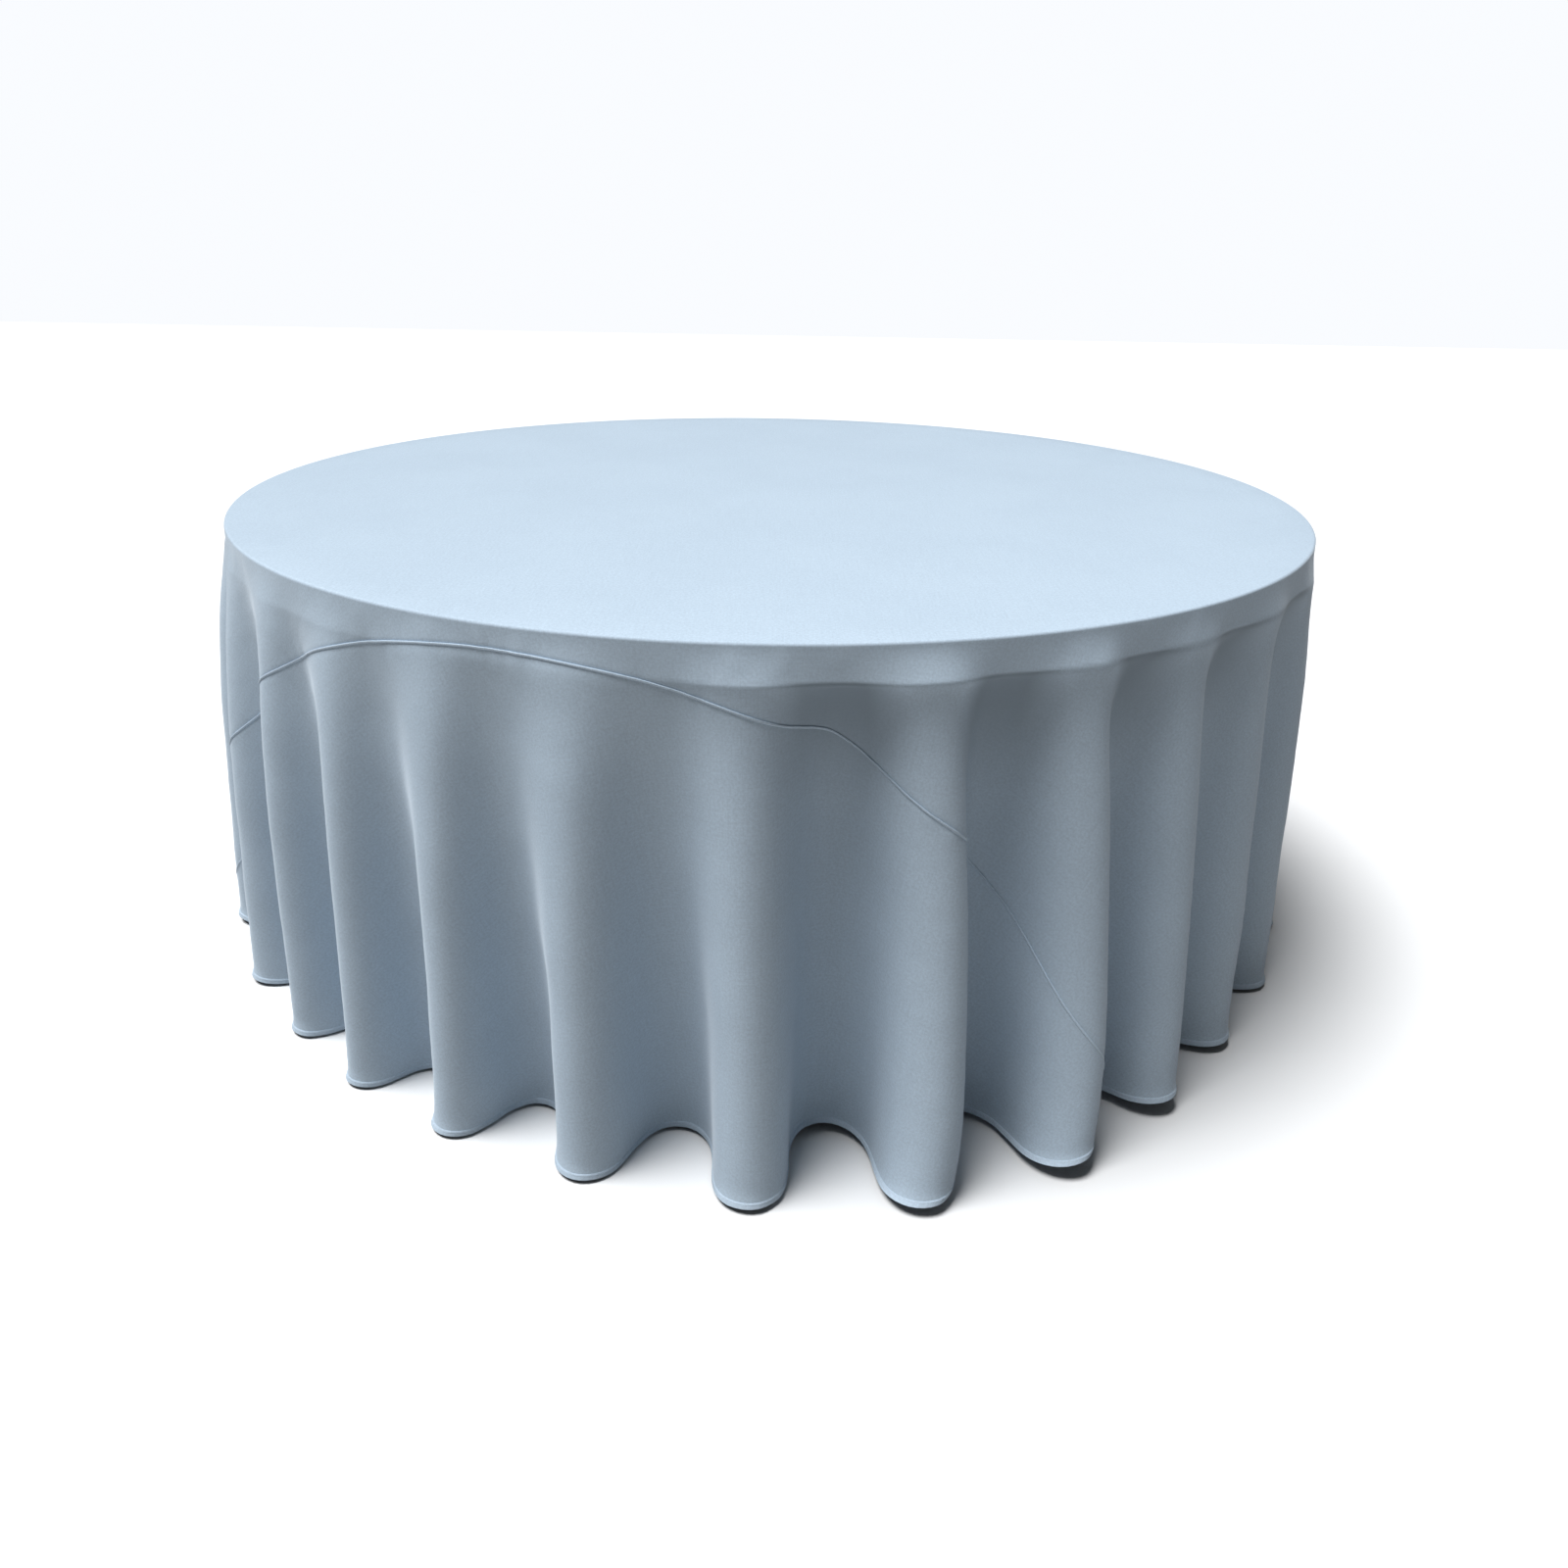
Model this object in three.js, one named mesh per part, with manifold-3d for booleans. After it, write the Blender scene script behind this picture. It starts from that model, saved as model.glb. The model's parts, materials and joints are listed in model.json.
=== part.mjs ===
// A round folding banquet table dressed with a floor-length round tablecloth.
// Millimetres, +Z up. The origin is on the floor, under the middle of the table.
// Directions round the table are counted from the front (-Y) towards the right (+X).

import * as THREE from 'three';
import { mergeVertices } from 'three/addons/utils/BufferGeometryUtils.js';
import Module from 'manifold-3d';

const library = await Module();
library.setup();

// ---------------------------------------------------------------- driving dimensions

const gap = 0.3; // left between pieces that touch on the real object

// table top
const tableRadius = 914.4;
const tableHeight = 762;
const edgeHeight = 45;
const edgeBandThickness = 3;
const laminateThickness = 1.2;
const coreThickness = 18;
const apronWidth = 32;
const runnerSpread = 300; // from the middle to each runner's centre line
const runnerWidth = 110;
const runnerEndSpace = 5;
const roundSegments = 72;

// leg frames
const hingeDistance = 600; // from the middle of the table to each hinge
const footSplay = 70; // foot further out than the hinge
const tubeRadius = 12.7;
const tubeWall = 1.2;
const barRadius = 9.5;
const barDistance = 242; // from hinge centre to cross bar, along the leg
const footWall = 2.5;
const footHeight = 32;
const footSole = 6;
const tubePlugHead = 3;
const tubePlugDepth = 12;
const runningClearance = 0.5; // round the hinge tube and the pins

// hinge brackets and their screws
const bracketThickness = 4;
const bracketWidth = 36;
const cheekWall = 6.8; // steel round the hinge tube's bore
const hingeSpace = 2; // between the hinge tube and its bracket's plate
const legToCheek = 9; // free space between a leg and its bracket's cheek
const passingSpace = 20; // between a leg and the other frame's foot when both frames are folded
const screwShankRadius = 2.4;
const screwHeadRadius = 5;
const screwHeadHeight = 2.4;
const screwLength = 22;
const screwSpace = 2; // between a screw's head and the cheek
const screwMargin = 6; // between a screw's head and the end of the plate

// folding stays
const linkThickness = 4;
const linkHalfWidth = 8;
const linkHoleRadius = 4;
const pinHeadRadius = 6.5;
const pinHeadHeight = 2.5;
const headCrown = 0.7; // a pin or screw head's flat top, as a share of the head
const stayPivotInset = 330; // from hinge to the stay's upper pivot, towards the middle
const stayPivotDrop = 28.5; // upper pivot below the table top's core
const earReach = 30; // from the cross bar to the stay's lower pivot
const foldSlack = 1.5; // spare distance between the pivots when the stay is folded
const stayOffset = 40; // from the middle line to the plane between the two links
const stayBracketLength = 44;
const stayBracketWidth = 26;
const stayBracketThickness = 3;

// tablecloth
const clothThickness = 0.8;
const clothClearance = 0.4; // between cloth and table top
const floorGap = 5; // hem above the floor
const hemWidth = 8;
const hemThickness = 2;
const seamWidth = 9;
const seamThickness = 1.6;
const seamGap = 1.2; // between a seam and its panels, down the cloth, which the seam crosses at a slant
const seamBeyondEdge = 31; // seam line beyond the table's edge at its nearest point
const seamDirection = -21; // degrees
const columnsPerFold = 4;
const skirtRows = 3;
const foldGrowth = 0.75; // how soon the folds open below the edge
const shortestEdge = 6; // a panel's corner is cut square at this height

// Each fold's crest: its direction in degrees, and how far it hangs out past the edge at the hem.
const folds = [
  { direction: -76, reach: 84 },
  { direction: -61.5, reach: 96 },
  { direction: -51, reach: 87 },
  { direction: -40.5, reach: 80 },
  { direction: -28.5, reach: 66 },
  { direction: -15.5, reach: 81 },
  { direction: 0, reach: 86 },
  { direction: 12.5, reach: 98 },
  { direction: 26, reach: 73 },
  { direction: 37.5, reach: 82 },
  { direction: 50, reach: 88 },
  { direction: 63.5, reach: 95 },
  { direction: 76.5, reach: 84 },
  { direction: 90, reach: 86 },
  { direction: 103, reach: 80 },
  { direction: 115.5, reach: 90 },
  { direction: 128.5, reach: 84 },
  { direction: 141, reach: 94 },
  { direction: 154.5, reach: 82 },
  { direction: 167, reach: 90 },
  { direction: 180, reach: 86 },
  { direction: 193, reach: 92 },
  { direction: 205.5, reach: 80 },
  { direction: 218.5, reach: 88 },
  { direction: 231.5, reach: 96 },
  { direction: 244, reach: 82 },
  { direction: 257, reach: 90 },
  { direction: 270, reach: 86 },
];

// ---------------------------------------------------------------- worked-out places

const innerRadius = tableRadius - edgeBandThickness;
const coreTop = tableHeight - laminateThickness - gap;
const coreBottom = coreTop - coreThickness;
const undersideHeight = tableHeight - edgeHeight;
const apronTop = coreBottom - gap;
const apronInnerRadius = innerRadius - gap - apronWidth;

const footRadius = tubeRadius + gap + footWall;
const cheekRadius = tubeRadius + runningClearance + cheekWall;
const screwSpread = cheekRadius + screwSpace + screwHeadRadius; // from the bracket's middle
const bracketLength = 2 * (screwSpread + screwHeadRadius + screwMargin);
const hingeDrop = gap + bracketThickness + hingeSpace + tubeRadius; // hinge centre below the runners
const hingeHeight = undersideHeight - hingeDrop;
const legSplayAngle = Math.atan2(footSplay, hingeHeight);
const legFoldAngle = Math.PI / 2 + legSplayAngle;
const legLength = Math.hypot(footSplay, hingeHeight);

const seamDistance = tableRadius + seamBeyondEdge;

// ---------------------------------------------------------------- materials

function finish(colour, roughness, metalness = 0) {
  return () => new THREE.MeshStandardMaterial({ color: colour, roughness, metalness });
}

const clothFinish = finish(0xa9bccd, 0.85);
const seamFinish = finish(0xb6c8d8, 0.85);
const laminateFinish = finish(0xb98f5e, 0.4);
const plywoodFinish = finish(0xc9a676, 0.7);
const timberFinish = finish(0xb89362, 0.7);
const bandFinish = finish(0xc4c0b6, 0.5);
const steelFinish = finish(0x4a4d50, 0.45, 0.6);
const zincFinish = finish(0xb4b8bb, 0.35, 0.9);
const rubberFinish = finish(0x1c1c1d, 0.9);

function piece(name, geometry, makeMaterial) {
  const mesh = new THREE.Mesh(geometry, makeMaterial());
  mesh.name = name;
  return mesh;
}

// ---------------------------------------------------------------- solids

function toSolid(geometry) {
  const bare = geometry.clone();
  bare.deleteAttribute('normal');
  bare.deleteAttribute('uv');
  const merged = mergeVertices(bare);
  const vertProperties = new Float32Array(merged.attributes.position.array);
  const triVerts = new Uint32Array(merged.index.array);
  return new library.Manifold(new library.Mesh({ numProp: 3, vertProperties, triVerts }));
}

function toGeometry(solid) {
  const mesh = solid.getMesh();
  const geometry = new THREE.BufferGeometry();
  geometry.setAttribute('position', new THREE.BufferAttribute(mesh.vertProperties, 3));
  geometry.setIndex(new THREE.BufferAttribute(mesh.triVerts, 1));
  return geometry;
}

function cutAway(geometry, cutters) {
  const solid = cutters.reduce((left, cutter) => left.subtract(toSolid(cutter)), toSolid(geometry));
  return toGeometry(solid);
}

function joinUp(first, second) {
  return toGeometry(toSolid(first).add(toSolid(second)));
}

// A solid of revolution about Z from [radius, height] corners, anticlockwise from the lowest inner one.
function turned(corners, segments) {
  const points = corners.map(([radius, height]) => new THREE.Vector2(radius, height));
  return new THREE.LatheGeometry(points, segments).rotateX(Math.PI / 2);
}

function disc(radius, bottom, top) {
  return turned([[0, bottom], [radius, bottom], [radius, top], [0, top]], roundSegments);
}

// A round bar or a pipe centred on the origin, along Z.
function pipe(radius, length, wall = 0, segments = 8) {
  const outline = new THREE.Shape().absarc(0, 0, radius, 0, 2 * Math.PI, false);
  if (wall > 0) outline.holes.push(new THREE.Path().absarc(0, 0, radius - wall, 0, 2 * Math.PI, true));
  const options = { depth: length, bevelEnabled: false, curveSegments: segments };
  return new THREE.ExtrudeGeometry(outline, options).translate(0, 0, -length / 2);
}

function pipeAlongY(radius, length, wall = 0, segments = 8) {
  return pipe(radius, length, wall, segments).rotateX(Math.PI / 2);
}

// A plate drawn in X and Z, with its thickness along Y and centred on it.
function uprightPlate(outline, thickness) {
  const options = { depth: thickness, bevelEnabled: false, curveSegments: 8 };
  const plate = new THREE.ExtrudeGeometry(outline, options);
  return plate.rotateX(Math.PI / 2).translate(0, thickness / 2, 0);
}

// A bar with round ends from (0, 0) to (length, 0), with a hole at each end.
function linkOutline(length, halfWidth, firstHole, lastHole) {
  const outline = new THREE.Shape();
  outline.absarc(length, 0, halfWidth, -Math.PI / 2, Math.PI / 2, false);
  outline.absarc(0, 0, halfWidth, Math.PI / 2, 1.5 * Math.PI, false);
  outline.holes.push(new THREE.Path().absarc(0, 0, firstHole, 0, 2 * Math.PI, true));
  outline.holes.push(new THREE.Path().absarc(length, 0, lastHole, 0, 2 * Math.PI, true));
  return outline;
}

// A shank with a round head, along -Z from the head's seat at the origin.
function headedPin(shankRadius, shankLength, headRadius, headHeight) {
  const corners = [
    [0, -shankLength],
    [shankRadius, -shankLength],
    [shankRadius, 0],
    [headRadius, 0],
    [headRadius, headHeight / 2],
    [headRadius * headCrown, headHeight],
    [0, headHeight],
  ];
  return turned(corners, 12);
}

// ---------------------------------------------------------------- table top

function screwPlaces() {
  const places = [];
  for (const side of [-1, 1]) {
    for (const along of [-1, 1]) {
      places.push({ x: hingeDistance * side + screwSpread * along, side, along });
    }
  }
  return places;
}

function legSpread(side) {
  // The right frame is narrower, so that the two fold past each other.
  return side < 0 ? runnerSpread : runnerSpread - tubeRadius - footRadius - passingSpace;
}

function bracketSpread(side) {
  return legSpread(side) + tubeRadius + legToCheek + bracketThickness / 2;
}

function runner(facing) {
  const halfChord = Math.sqrt(apronInnerRadius ** 2 - (runnerSpread + runnerWidth / 2) ** 2);
  const height = apronTop - undersideHeight;
  const board = new THREE.BoxGeometry(2 * (halfChord - runnerEndSpace), runnerWidth, height);
  board.translate(0, facing * runnerSpread, undersideHeight + height / 2);
  const holes = screwPlaces().map(({ x, side }) => {
    const hole = pipe(screwShankRadius + gap, 2 * screwLength, 0, 5);
    return hole.translate(x, facing * bracketSpread(side), undersideHeight);
  });
  return cutAway(board, holes);
}

function hingeBracket() {
  const plateTop = hingeDrop - gap;
  const plate = new THREE.BoxGeometry(bracketLength, bracketWidth, bracketThickness);
  plate.translate(0, 0, plateTop - bracketThickness / 2);
  const outline = new THREE.Shape();
  outline.moveTo(cheekRadius, plateTop - bracketThickness / 2);
  outline.lineTo(-cheekRadius, plateTop - bracketThickness / 2);
  outline.absarc(0, 0, cheekRadius, Math.PI, 2 * Math.PI, false);
  const cheek = uprightPlate(outline, bracketThickness);
  const bore = pipeAlongY(tubeRadius + runningClearance, 2 * bracketThickness, 0, 12);
  const screwHoles = [-1, 1].map((along) => {
    const hole = pipe(screwShankRadius + gap, 4 * bracketThickness, 0, 5);
    return hole.translate(along * screwSpread, 0, plateTop);
  });
  return cutAway(joinUp(plate, cheek), [bore, ...screwHoles]);
}

function stayBracket() {
  const plateTop = stayPivotDrop - gap;
  const plate = new THREE.BoxGeometry(stayBracketLength, stayBracketWidth, stayBracketThickness);
  plate.translate(0, 0, plateTop - stayBracketThickness / 2);
  const outline = new THREE.Shape();
  const cheekHalf = linkHalfWidth + 2;
  outline.moveTo(cheekHalf, plateTop - stayBracketThickness / 2);
  outline.lineTo(-cheekHalf, plateTop - stayBracketThickness / 2);
  outline.absarc(0, 0, cheekHalf, Math.PI, 2 * Math.PI, false);
  outline.holes.push(new THREE.Path().absarc(0, 0, linkHoleRadius, 0, 2 * Math.PI, true));
  return joinUp(plate, uprightPlate(outline, bracketThickness));
}

function buildTableTop() {
  const top = new THREE.Group();
  const cornerArc = [0, 1, 2].map((step) => {
    const angle = (step * Math.PI) / 4;
    const radius = innerRadius + edgeBandThickness * Math.cos(angle);
    return [radius, tableHeight - edgeBandThickness * (1 - Math.sin(angle))];
  });
  const bandCorners = [[innerRadius, undersideHeight], [tableRadius, undersideHeight], ...cornerArc];
  const apronOuter = innerRadius - gap;
  const apronCorners = [
    [apronInnerRadius, undersideHeight],
    [apronOuter, undersideHeight],
    [apronOuter, apronTop],
    [apronInnerRadius, apronTop],
    [apronInnerRadius, undersideHeight],
  ];
  const discRadius = innerRadius - gap;
  const laminate = disc(discRadius, tableHeight - laminateThickness, tableHeight);
  top.add(piece('top_laminate', laminate, laminateFinish));
  top.add(piece('top_core', disc(discRadius, coreBottom, coreTop), plywoodFinish));
  const closedBand = [...bandCorners, bandCorners[0]];
  top.add(piece('edge_band', turned(closedBand, roundSegments), bandFinish));
  top.add(piece('apron_ring', turned(apronCorners, roundSegments), timberFinish));
  top.add(piece('front_runner', runner(-1), timberFinish));
  top.add(piece('back_runner', runner(1), timberFinish));

  for (const [frameName, side] of [['left', -1], ['right', 1]]) {
    for (const [endName, facing] of [['front', -1], ['back', 1]]) {
      const bracket = piece(`${frameName}_${endName}_hinge_bracket`, hingeBracket(), zincFinish);
      bracket.position.set(side * hingeDistance, facing * bracketSpread(side), hingeHeight);
      top.add(bracket);
      for (const along of [-1, 1]) {
        const place = along < 0 ? 'outer' : 'inner';
        const screw = headedPin(screwShankRadius, screwLength, screwHeadRadius, screwHeadHeight);
        const mesh = piece(`${frameName}_${endName}_${place}_screw`, screw, zincFinish);
        mesh.rotation.x = Math.PI; // head down
        const seat = hingeHeight + hingeDrop - 2 * gap - bracketThickness;
        const x = side * (hingeDistance - along * screwSpread);
        mesh.position.set(x, facing * bracketSpread(side), seat);
        top.add(mesh);
      }
    }
    const stay = piece(`${frameName}_stay_bracket`, stayBracket(), zincFinish);
    const plane = stayPlanes(side);
    stay.position.set(side * (hingeDistance - stayPivotInset), plane.upperBracket, coreBottom - stayPivotDrop);
    top.add(stay);
  }
  return top;
}

// ---------------------------------------------------------------- stays

// The planes that the two links, the bracket's cheek and the ear lie in, across the table.
function stayPlanes(side) {
  const away = -side; // the left stay is on the back side of the middle line, the right one on the front
  const step = linkThickness + 2 * gap;
  return {
    away,
    upperLink: away * (stayOffset - step / 2),
    upperBracket: away * (stayOffset - step / 2 - linkThickness / 2 - gap - bracketThickness / 2),
    lowerLink: away * (stayOffset + step / 2),
    ear: away * (stayOffset + step / 2 + linkThickness / 2 + gap + bracketThickness / 2),
  };
}

// Pivots of the left stay in X and Z, with the length of each link.
function stayLinkage() {
  const upperPivot = new THREE.Vector2(-hingeDistance + stayPivotInset, coreBottom - stayPivotDrop);
  const along = barDistance + earReach;
  const hinge = new THREE.Vector2(-hingeDistance, hingeHeight);
  const lowerPivot = new THREE.Vector2(
    hinge.x - along * Math.sin(legSplayAngle),
    hinge.y - along * Math.cos(legSplayAngle),
  );
  const foldedPivot = new THREE.Vector2(hinge.x + along, hinge.y);
  const openDistance = upperPivot.distanceTo(lowerPivot);
  const foldedDistance = upperPivot.distanceTo(foldedPivot);
  const difference = foldedDistance - foldSlack;
  return {
    upperPivot,
    lowerPivot,
    upperLength: (openDistance - difference) / 2,
    lowerLength: (openDistance + difference) / 2,
    slope: Math.atan2(lowerPivot.y - upperPivot.y, lowerPivot.x - upperPivot.x),
  };
}

// A pin along Y, its head on the far side of the plate that it holds.
function crossPin(name, shankLength, away) {
  const geometry = headedPin(linkHoleRadius - gap, shankLength, pinHeadRadius, pinHeadHeight);
  const pin = piece(name, geometry, zincFinish);
  pin.rotation.x = (-away * Math.PI) / 2;
  return pin;
}

function buildStays(frameName, side) {
  const linkage = stayLinkage();
  const planes = stayPlanes(side);
  const stays = new THREE.Group();
  const turn = side < 0 ? linkage.slope : Math.PI - linkage.slope;

  const upperShape = linkOutline(linkage.upperLength, linkHalfWidth, linkHoleRadius, linkHoleRadius);
  const upper = piece(`${frameName}_upper_stay`, uprightPlate(upperShape, linkThickness), steelFinish);
  upper.position.set(-side * linkage.upperPivot.x, planes.upperLink, linkage.upperPivot.y);
  upper.rotation.y = -turn;
  stays.add(upper);

  const lowerShape = linkOutline(linkage.lowerLength, linkHalfWidth, linkHoleRadius, linkHoleRadius);
  const lower = piece(`${frameName}_lower_stay`, uprightPlate(lowerShape, linkThickness), steelFinish);
  lower.position.set(-side * linkage.lowerPivot.x, planes.lowerLink, linkage.lowerPivot.y);
  lower.rotation.y = -(turn + Math.PI);
  stays.add(lower);

  const throughTwo = linkThickness + bracketThickness + 2 * gap;
  const upperPin = crossPin(`${frameName}_upper_stay_pin`, throughTwo, -planes.away);
  const upperSeat = planes.upperBracket - planes.away * (bracketThickness / 2 + gap);
  upperPin.position.set(upper.position.x, upperSeat, upper.position.z);
  stays.add(upperPin);

  const lowerPin = crossPin(`${frameName}_lower_stay_pin`, throughTwo, planes.away);
  const lowerSeat = planes.ear + planes.away * (bracketThickness / 2 + gap);
  lowerPin.position.set(lower.position.x, lowerSeat, lower.position.z);
  stays.add(lowerPin);

  const knuckle = crossPin(`${frameName}_knuckle_rivet`, linkThickness + gap, planes.away);
  const knuckleX = linkage.upperPivot.x + linkage.upperLength * Math.cos(linkage.slope);
  const knuckleZ = linkage.upperPivot.y + linkage.upperLength * Math.sin(linkage.slope);
  const knuckleSeat = planes.lowerLink + planes.away * (linkThickness / 2 + gap);
  knuckle.position.set(-side * knuckleX, knuckleSeat, knuckleZ);
  stays.add(knuckle);
  return stays;
}

// ---------------------------------------------------------------- leg frames

// The foot: a rubber cup round the end of the leg, with its sole cut level with the floor.
function foot() {
  const grip = tubeRadius + gap;
  const overlap = footHeight - footSole;
  const corners = [
    [0, -2 * footSole],
    [footRadius, -2 * footSole],
    [footRadius, overlap],
    [grip, overlap],
    [grip, 0],
    [0, 0],
  ];
  const cup = turned(corners, 16);
  cup.rotateY(legSplayAngle);
  const groundDepth = 4 * footSole;
  const ground = new THREE.BoxGeometry(4 * footRadius, 4 * footRadius, groundDepth);
  ground.translate(0, 0, -footSole - groundDepth / 2);
  return cutAway(cup, [ground]);
}

function buildLegFrame(frameName, side) {
  const frame = new THREE.Group();
  const spread = legSpread(side);
  const bracketOuter = bracketSpread(side) + bracketThickness / 2;
  const tubeLength = 2 * (bracketOuter + legToCheek / 2);

  const hingeTube = pipeAlongY(tubeRadius, tubeLength, tubeWall, 12);
  frame.add(piece(`${frameName}_hinge_tube`, hingeTube, steelFinish));

  // Everything below hangs from the hinge, along the splayed leg.
  const splayed = new THREE.Group();
  splayed.rotation.y = -side * legSplayAngle;
  const bar = pipeAlongY(barRadius, 2 * (spread - tubeRadius - gap), tubeWall);
  const barMesh = piece(`${frameName}_cross_bar`, bar, steelFinish);
  barMesh.position.z = -barDistance;
  splayed.add(barMesh);

  const earOutline = linkOutline(earReach, barRadius + 3, barRadius + gap, linkHoleRadius);
  const ear = piece(`${frameName}_stay_ear`, uprightPlate(earOutline, bracketThickness), steelFinish);
  ear.rotation.y = Math.PI / 2;
  ear.position.set(0, stayPlanes(side).ear, -barDistance);
  splayed.add(ear);

  for (const [endName, facing] of [['front', -1], ['back', 1]]) {
    const top = tubeRadius + gap;
    const bottom = legLength - footSole;
    const leg = piece(`${frameName}_${endName}_leg`, pipe(tubeRadius, bottom - top - gap, tubeWall), steelFinish);
    leg.position.set(0, facing * spread, -(top + bottom - gap) / 2);
    splayed.add(leg);

    const plugSolid = headedPin(tubeRadius - tubeWall - gap, tubePlugDepth, tubeRadius, tubePlugHead);
    const plug = piece(`${frameName}_${endName}_tube_plug`, plugSolid, rubberFinish);
    plug.rotation.x = (-facing * Math.PI) / 2;
    plug.position.y = facing * (tubeLength / 2 + gap);
    frame.add(plug);

    const footMesh = piece(`${frameName}_${endName}_foot`, foot(), rubberFinish);
    if (side > 0) footMesh.rotation.z = Math.PI;
    const soleX = side * (hingeDistance + (legLength - footSole) * Math.sin(legSplayAngle));
    footMesh.position.set(soleX - side * hingeDistance, facing * spread, footSole - hingeHeight);
    frame.add(footMesh);
  }
  frame.add(splayed);
  frame.position.set(side * hingeDistance, 0, hingeHeight);
  return frame;
}

// ---------------------------------------------------------------- tablecloth

// The cloth is described on itself: a direction, and the distance from the start of the edge roll.
const fullTurn = 360;
const degree = Math.PI / 180;
const nextFolds = [...folds.slice(1), { ...folds[0], direction: folds[0].direction + fullTurn }];
const widestFold = Math.max(...folds.map((fold, index) => nextFolds[index].direction - fold.direction));
const widestColumn = (widestFold / columnsPerFold) * degree;
const facetSag = tableRadius * (1 - Math.cos(widestColumn / 2)); // how far a flat facet cuts inside the circle
const rollRadius = edgeBandThickness + clothClearance + facetSag + clothThickness / 2;
const rollLength = (rollRadius * Math.PI) / 2;
const rollHeight = tableHeight - edgeBandThickness;
const skirtRadius = innerRadius + rollRadius;
const skirtLength = rollHeight - floorGap;
const clothEdge = rollLength + skirtLength;

// The fold depth in a direction: its full reach on a crest, nothing in a valley.
function foldReach(direction) {
  const index = folds.findIndex((fold, at) => direction >= fold.direction && direction <= nextFolds[at].direction);
  if (index < 0) return foldReach(direction < folds[0].direction ? direction + fullTurn : direction - fullTurn);
  const here = folds[index];
  const next = nextFolds[index];
  const share = (direction - here.direction) / (next.direction - here.direction);
  const crest = share < 0.5 ? here.reach : next.reach;
  return (crest * (1 + Math.cos(2 * Math.PI * share))) / 2;
}

// The middle of the cloth's thickness.
function clothPoint(direction, distance) {
  let radius;
  let height;
  if (distance <= 0) {
    radius = innerRadius + distance;
    height = rollHeight + rollRadius;
  } else if (distance <= rollLength) {
    const angle = distance / rollRadius;
    radius = innerRadius + rollRadius * Math.sin(angle);
    height = rollHeight + rollRadius * Math.cos(angle);
  } else {
    const hung = distance - rollLength;
    const reach = foldReach(direction);
    radius = skirtRadius + reach * (hung / skirtLength) ** foldGrowth;
    height = rollHeight - hung * Math.sqrt(1 - (reach / skirtLength) ** 2);
  }
  const angle = direction * degree;
  return new THREE.Vector3(radius * Math.sin(angle), -radius * Math.cos(angle), height);
}

// The outward normal, from two short steps on the cloth.
function clothNormal(direction, distance) {
  const stepAngle = 0.05;
  const stepDistance = 0.1;
  const start = clothPoint(direction - stepAngle, distance);
  const across = clothPoint(direction + stepAngle, distance).sub(start);
  const above = clothPoint(direction, distance - stepDistance);
  const along = clothPoint(direction, distance + stepDistance).sub(above);
  return along.cross(across).normalize();
}

// The seam's distance in a direction; the cloth's two seams are straight and parallel when it is flat.
function seamLine(direction, centre) {
  const fromCentre = Math.cos((direction - centre) * degree);
  if (fromCentre <= 0) return Infinity;
  return seamDistance / fromCentre - innerRadius;
}

// The direction, either side of the seam's centre, where the seam line comes to a given distance.
function seamEnd(distance, centre, sign) {
  return centre + (sign * Math.acos(seamDistance / (distance + innerRadius))) / degree;
}

const panelEdge = clothEdge - hemWidth - gap;
const seamCentres = { front: seamDirection, back: seamDirection + fullTurn / 2 };

function seamSpan(centre) {
  const stripReach = panelEdge - seamWidth / 2;
  return [seamEnd(stripReach, centre, -1), seamEnd(stripReach, centre, 1)];
}

function centrePanelSpan(centre) {
  const seamHalf = seamWidth / 2 + seamGap;
  return [seamEnd(panelEdge + seamHalf, centre, -1), seamEnd(panelEdge + seamHalf, centre, 1)];
}

function sidePanelSpan(centre) {
  const cornerReach = panelEdge - seamWidth / 2 - seamGap - shortestEdge;
  return [seamEnd(cornerReach, centre, -1), seamEnd(cornerReach, centre, 1)];
}

// Every node of the cloth is built on these directions, so that neighbours meet facet to facet.
function clothDirections() {
  const first = folds[0].direction;
  const directions = [];
  folds.forEach((fold, index) => {
    const span = nextFolds[index].direction - fold.direction;
    for (let column = 0; column < columnsPerFold; column += 1) {
      directions.push(fold.direction + (span * column) / columnsPerFold);
    }
  });
  for (const centre of Object.values(seamCentres)) {
    for (const end of [...seamSpan(centre), ...centrePanelSpan(centre), ...sidePanelSpan(centre)]) {
      directions.push(end < first ? end + fullTurn : end);
    }
  }
  directions.sort((a, b) => a - b);
  return directions.filter((value, index) => index === 0 || value - directions[index - 1] > 1e-6);
}

const directions = clothDirections();

function directionsWithin([start, end]) {
  const all = [-fullTurn, 0, fullTurn].flatMap((turn) => directions.map((value) => value + turn));
  return all.filter((value) => value > start - 1e-6 && value < end + 1e-6);
}

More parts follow.
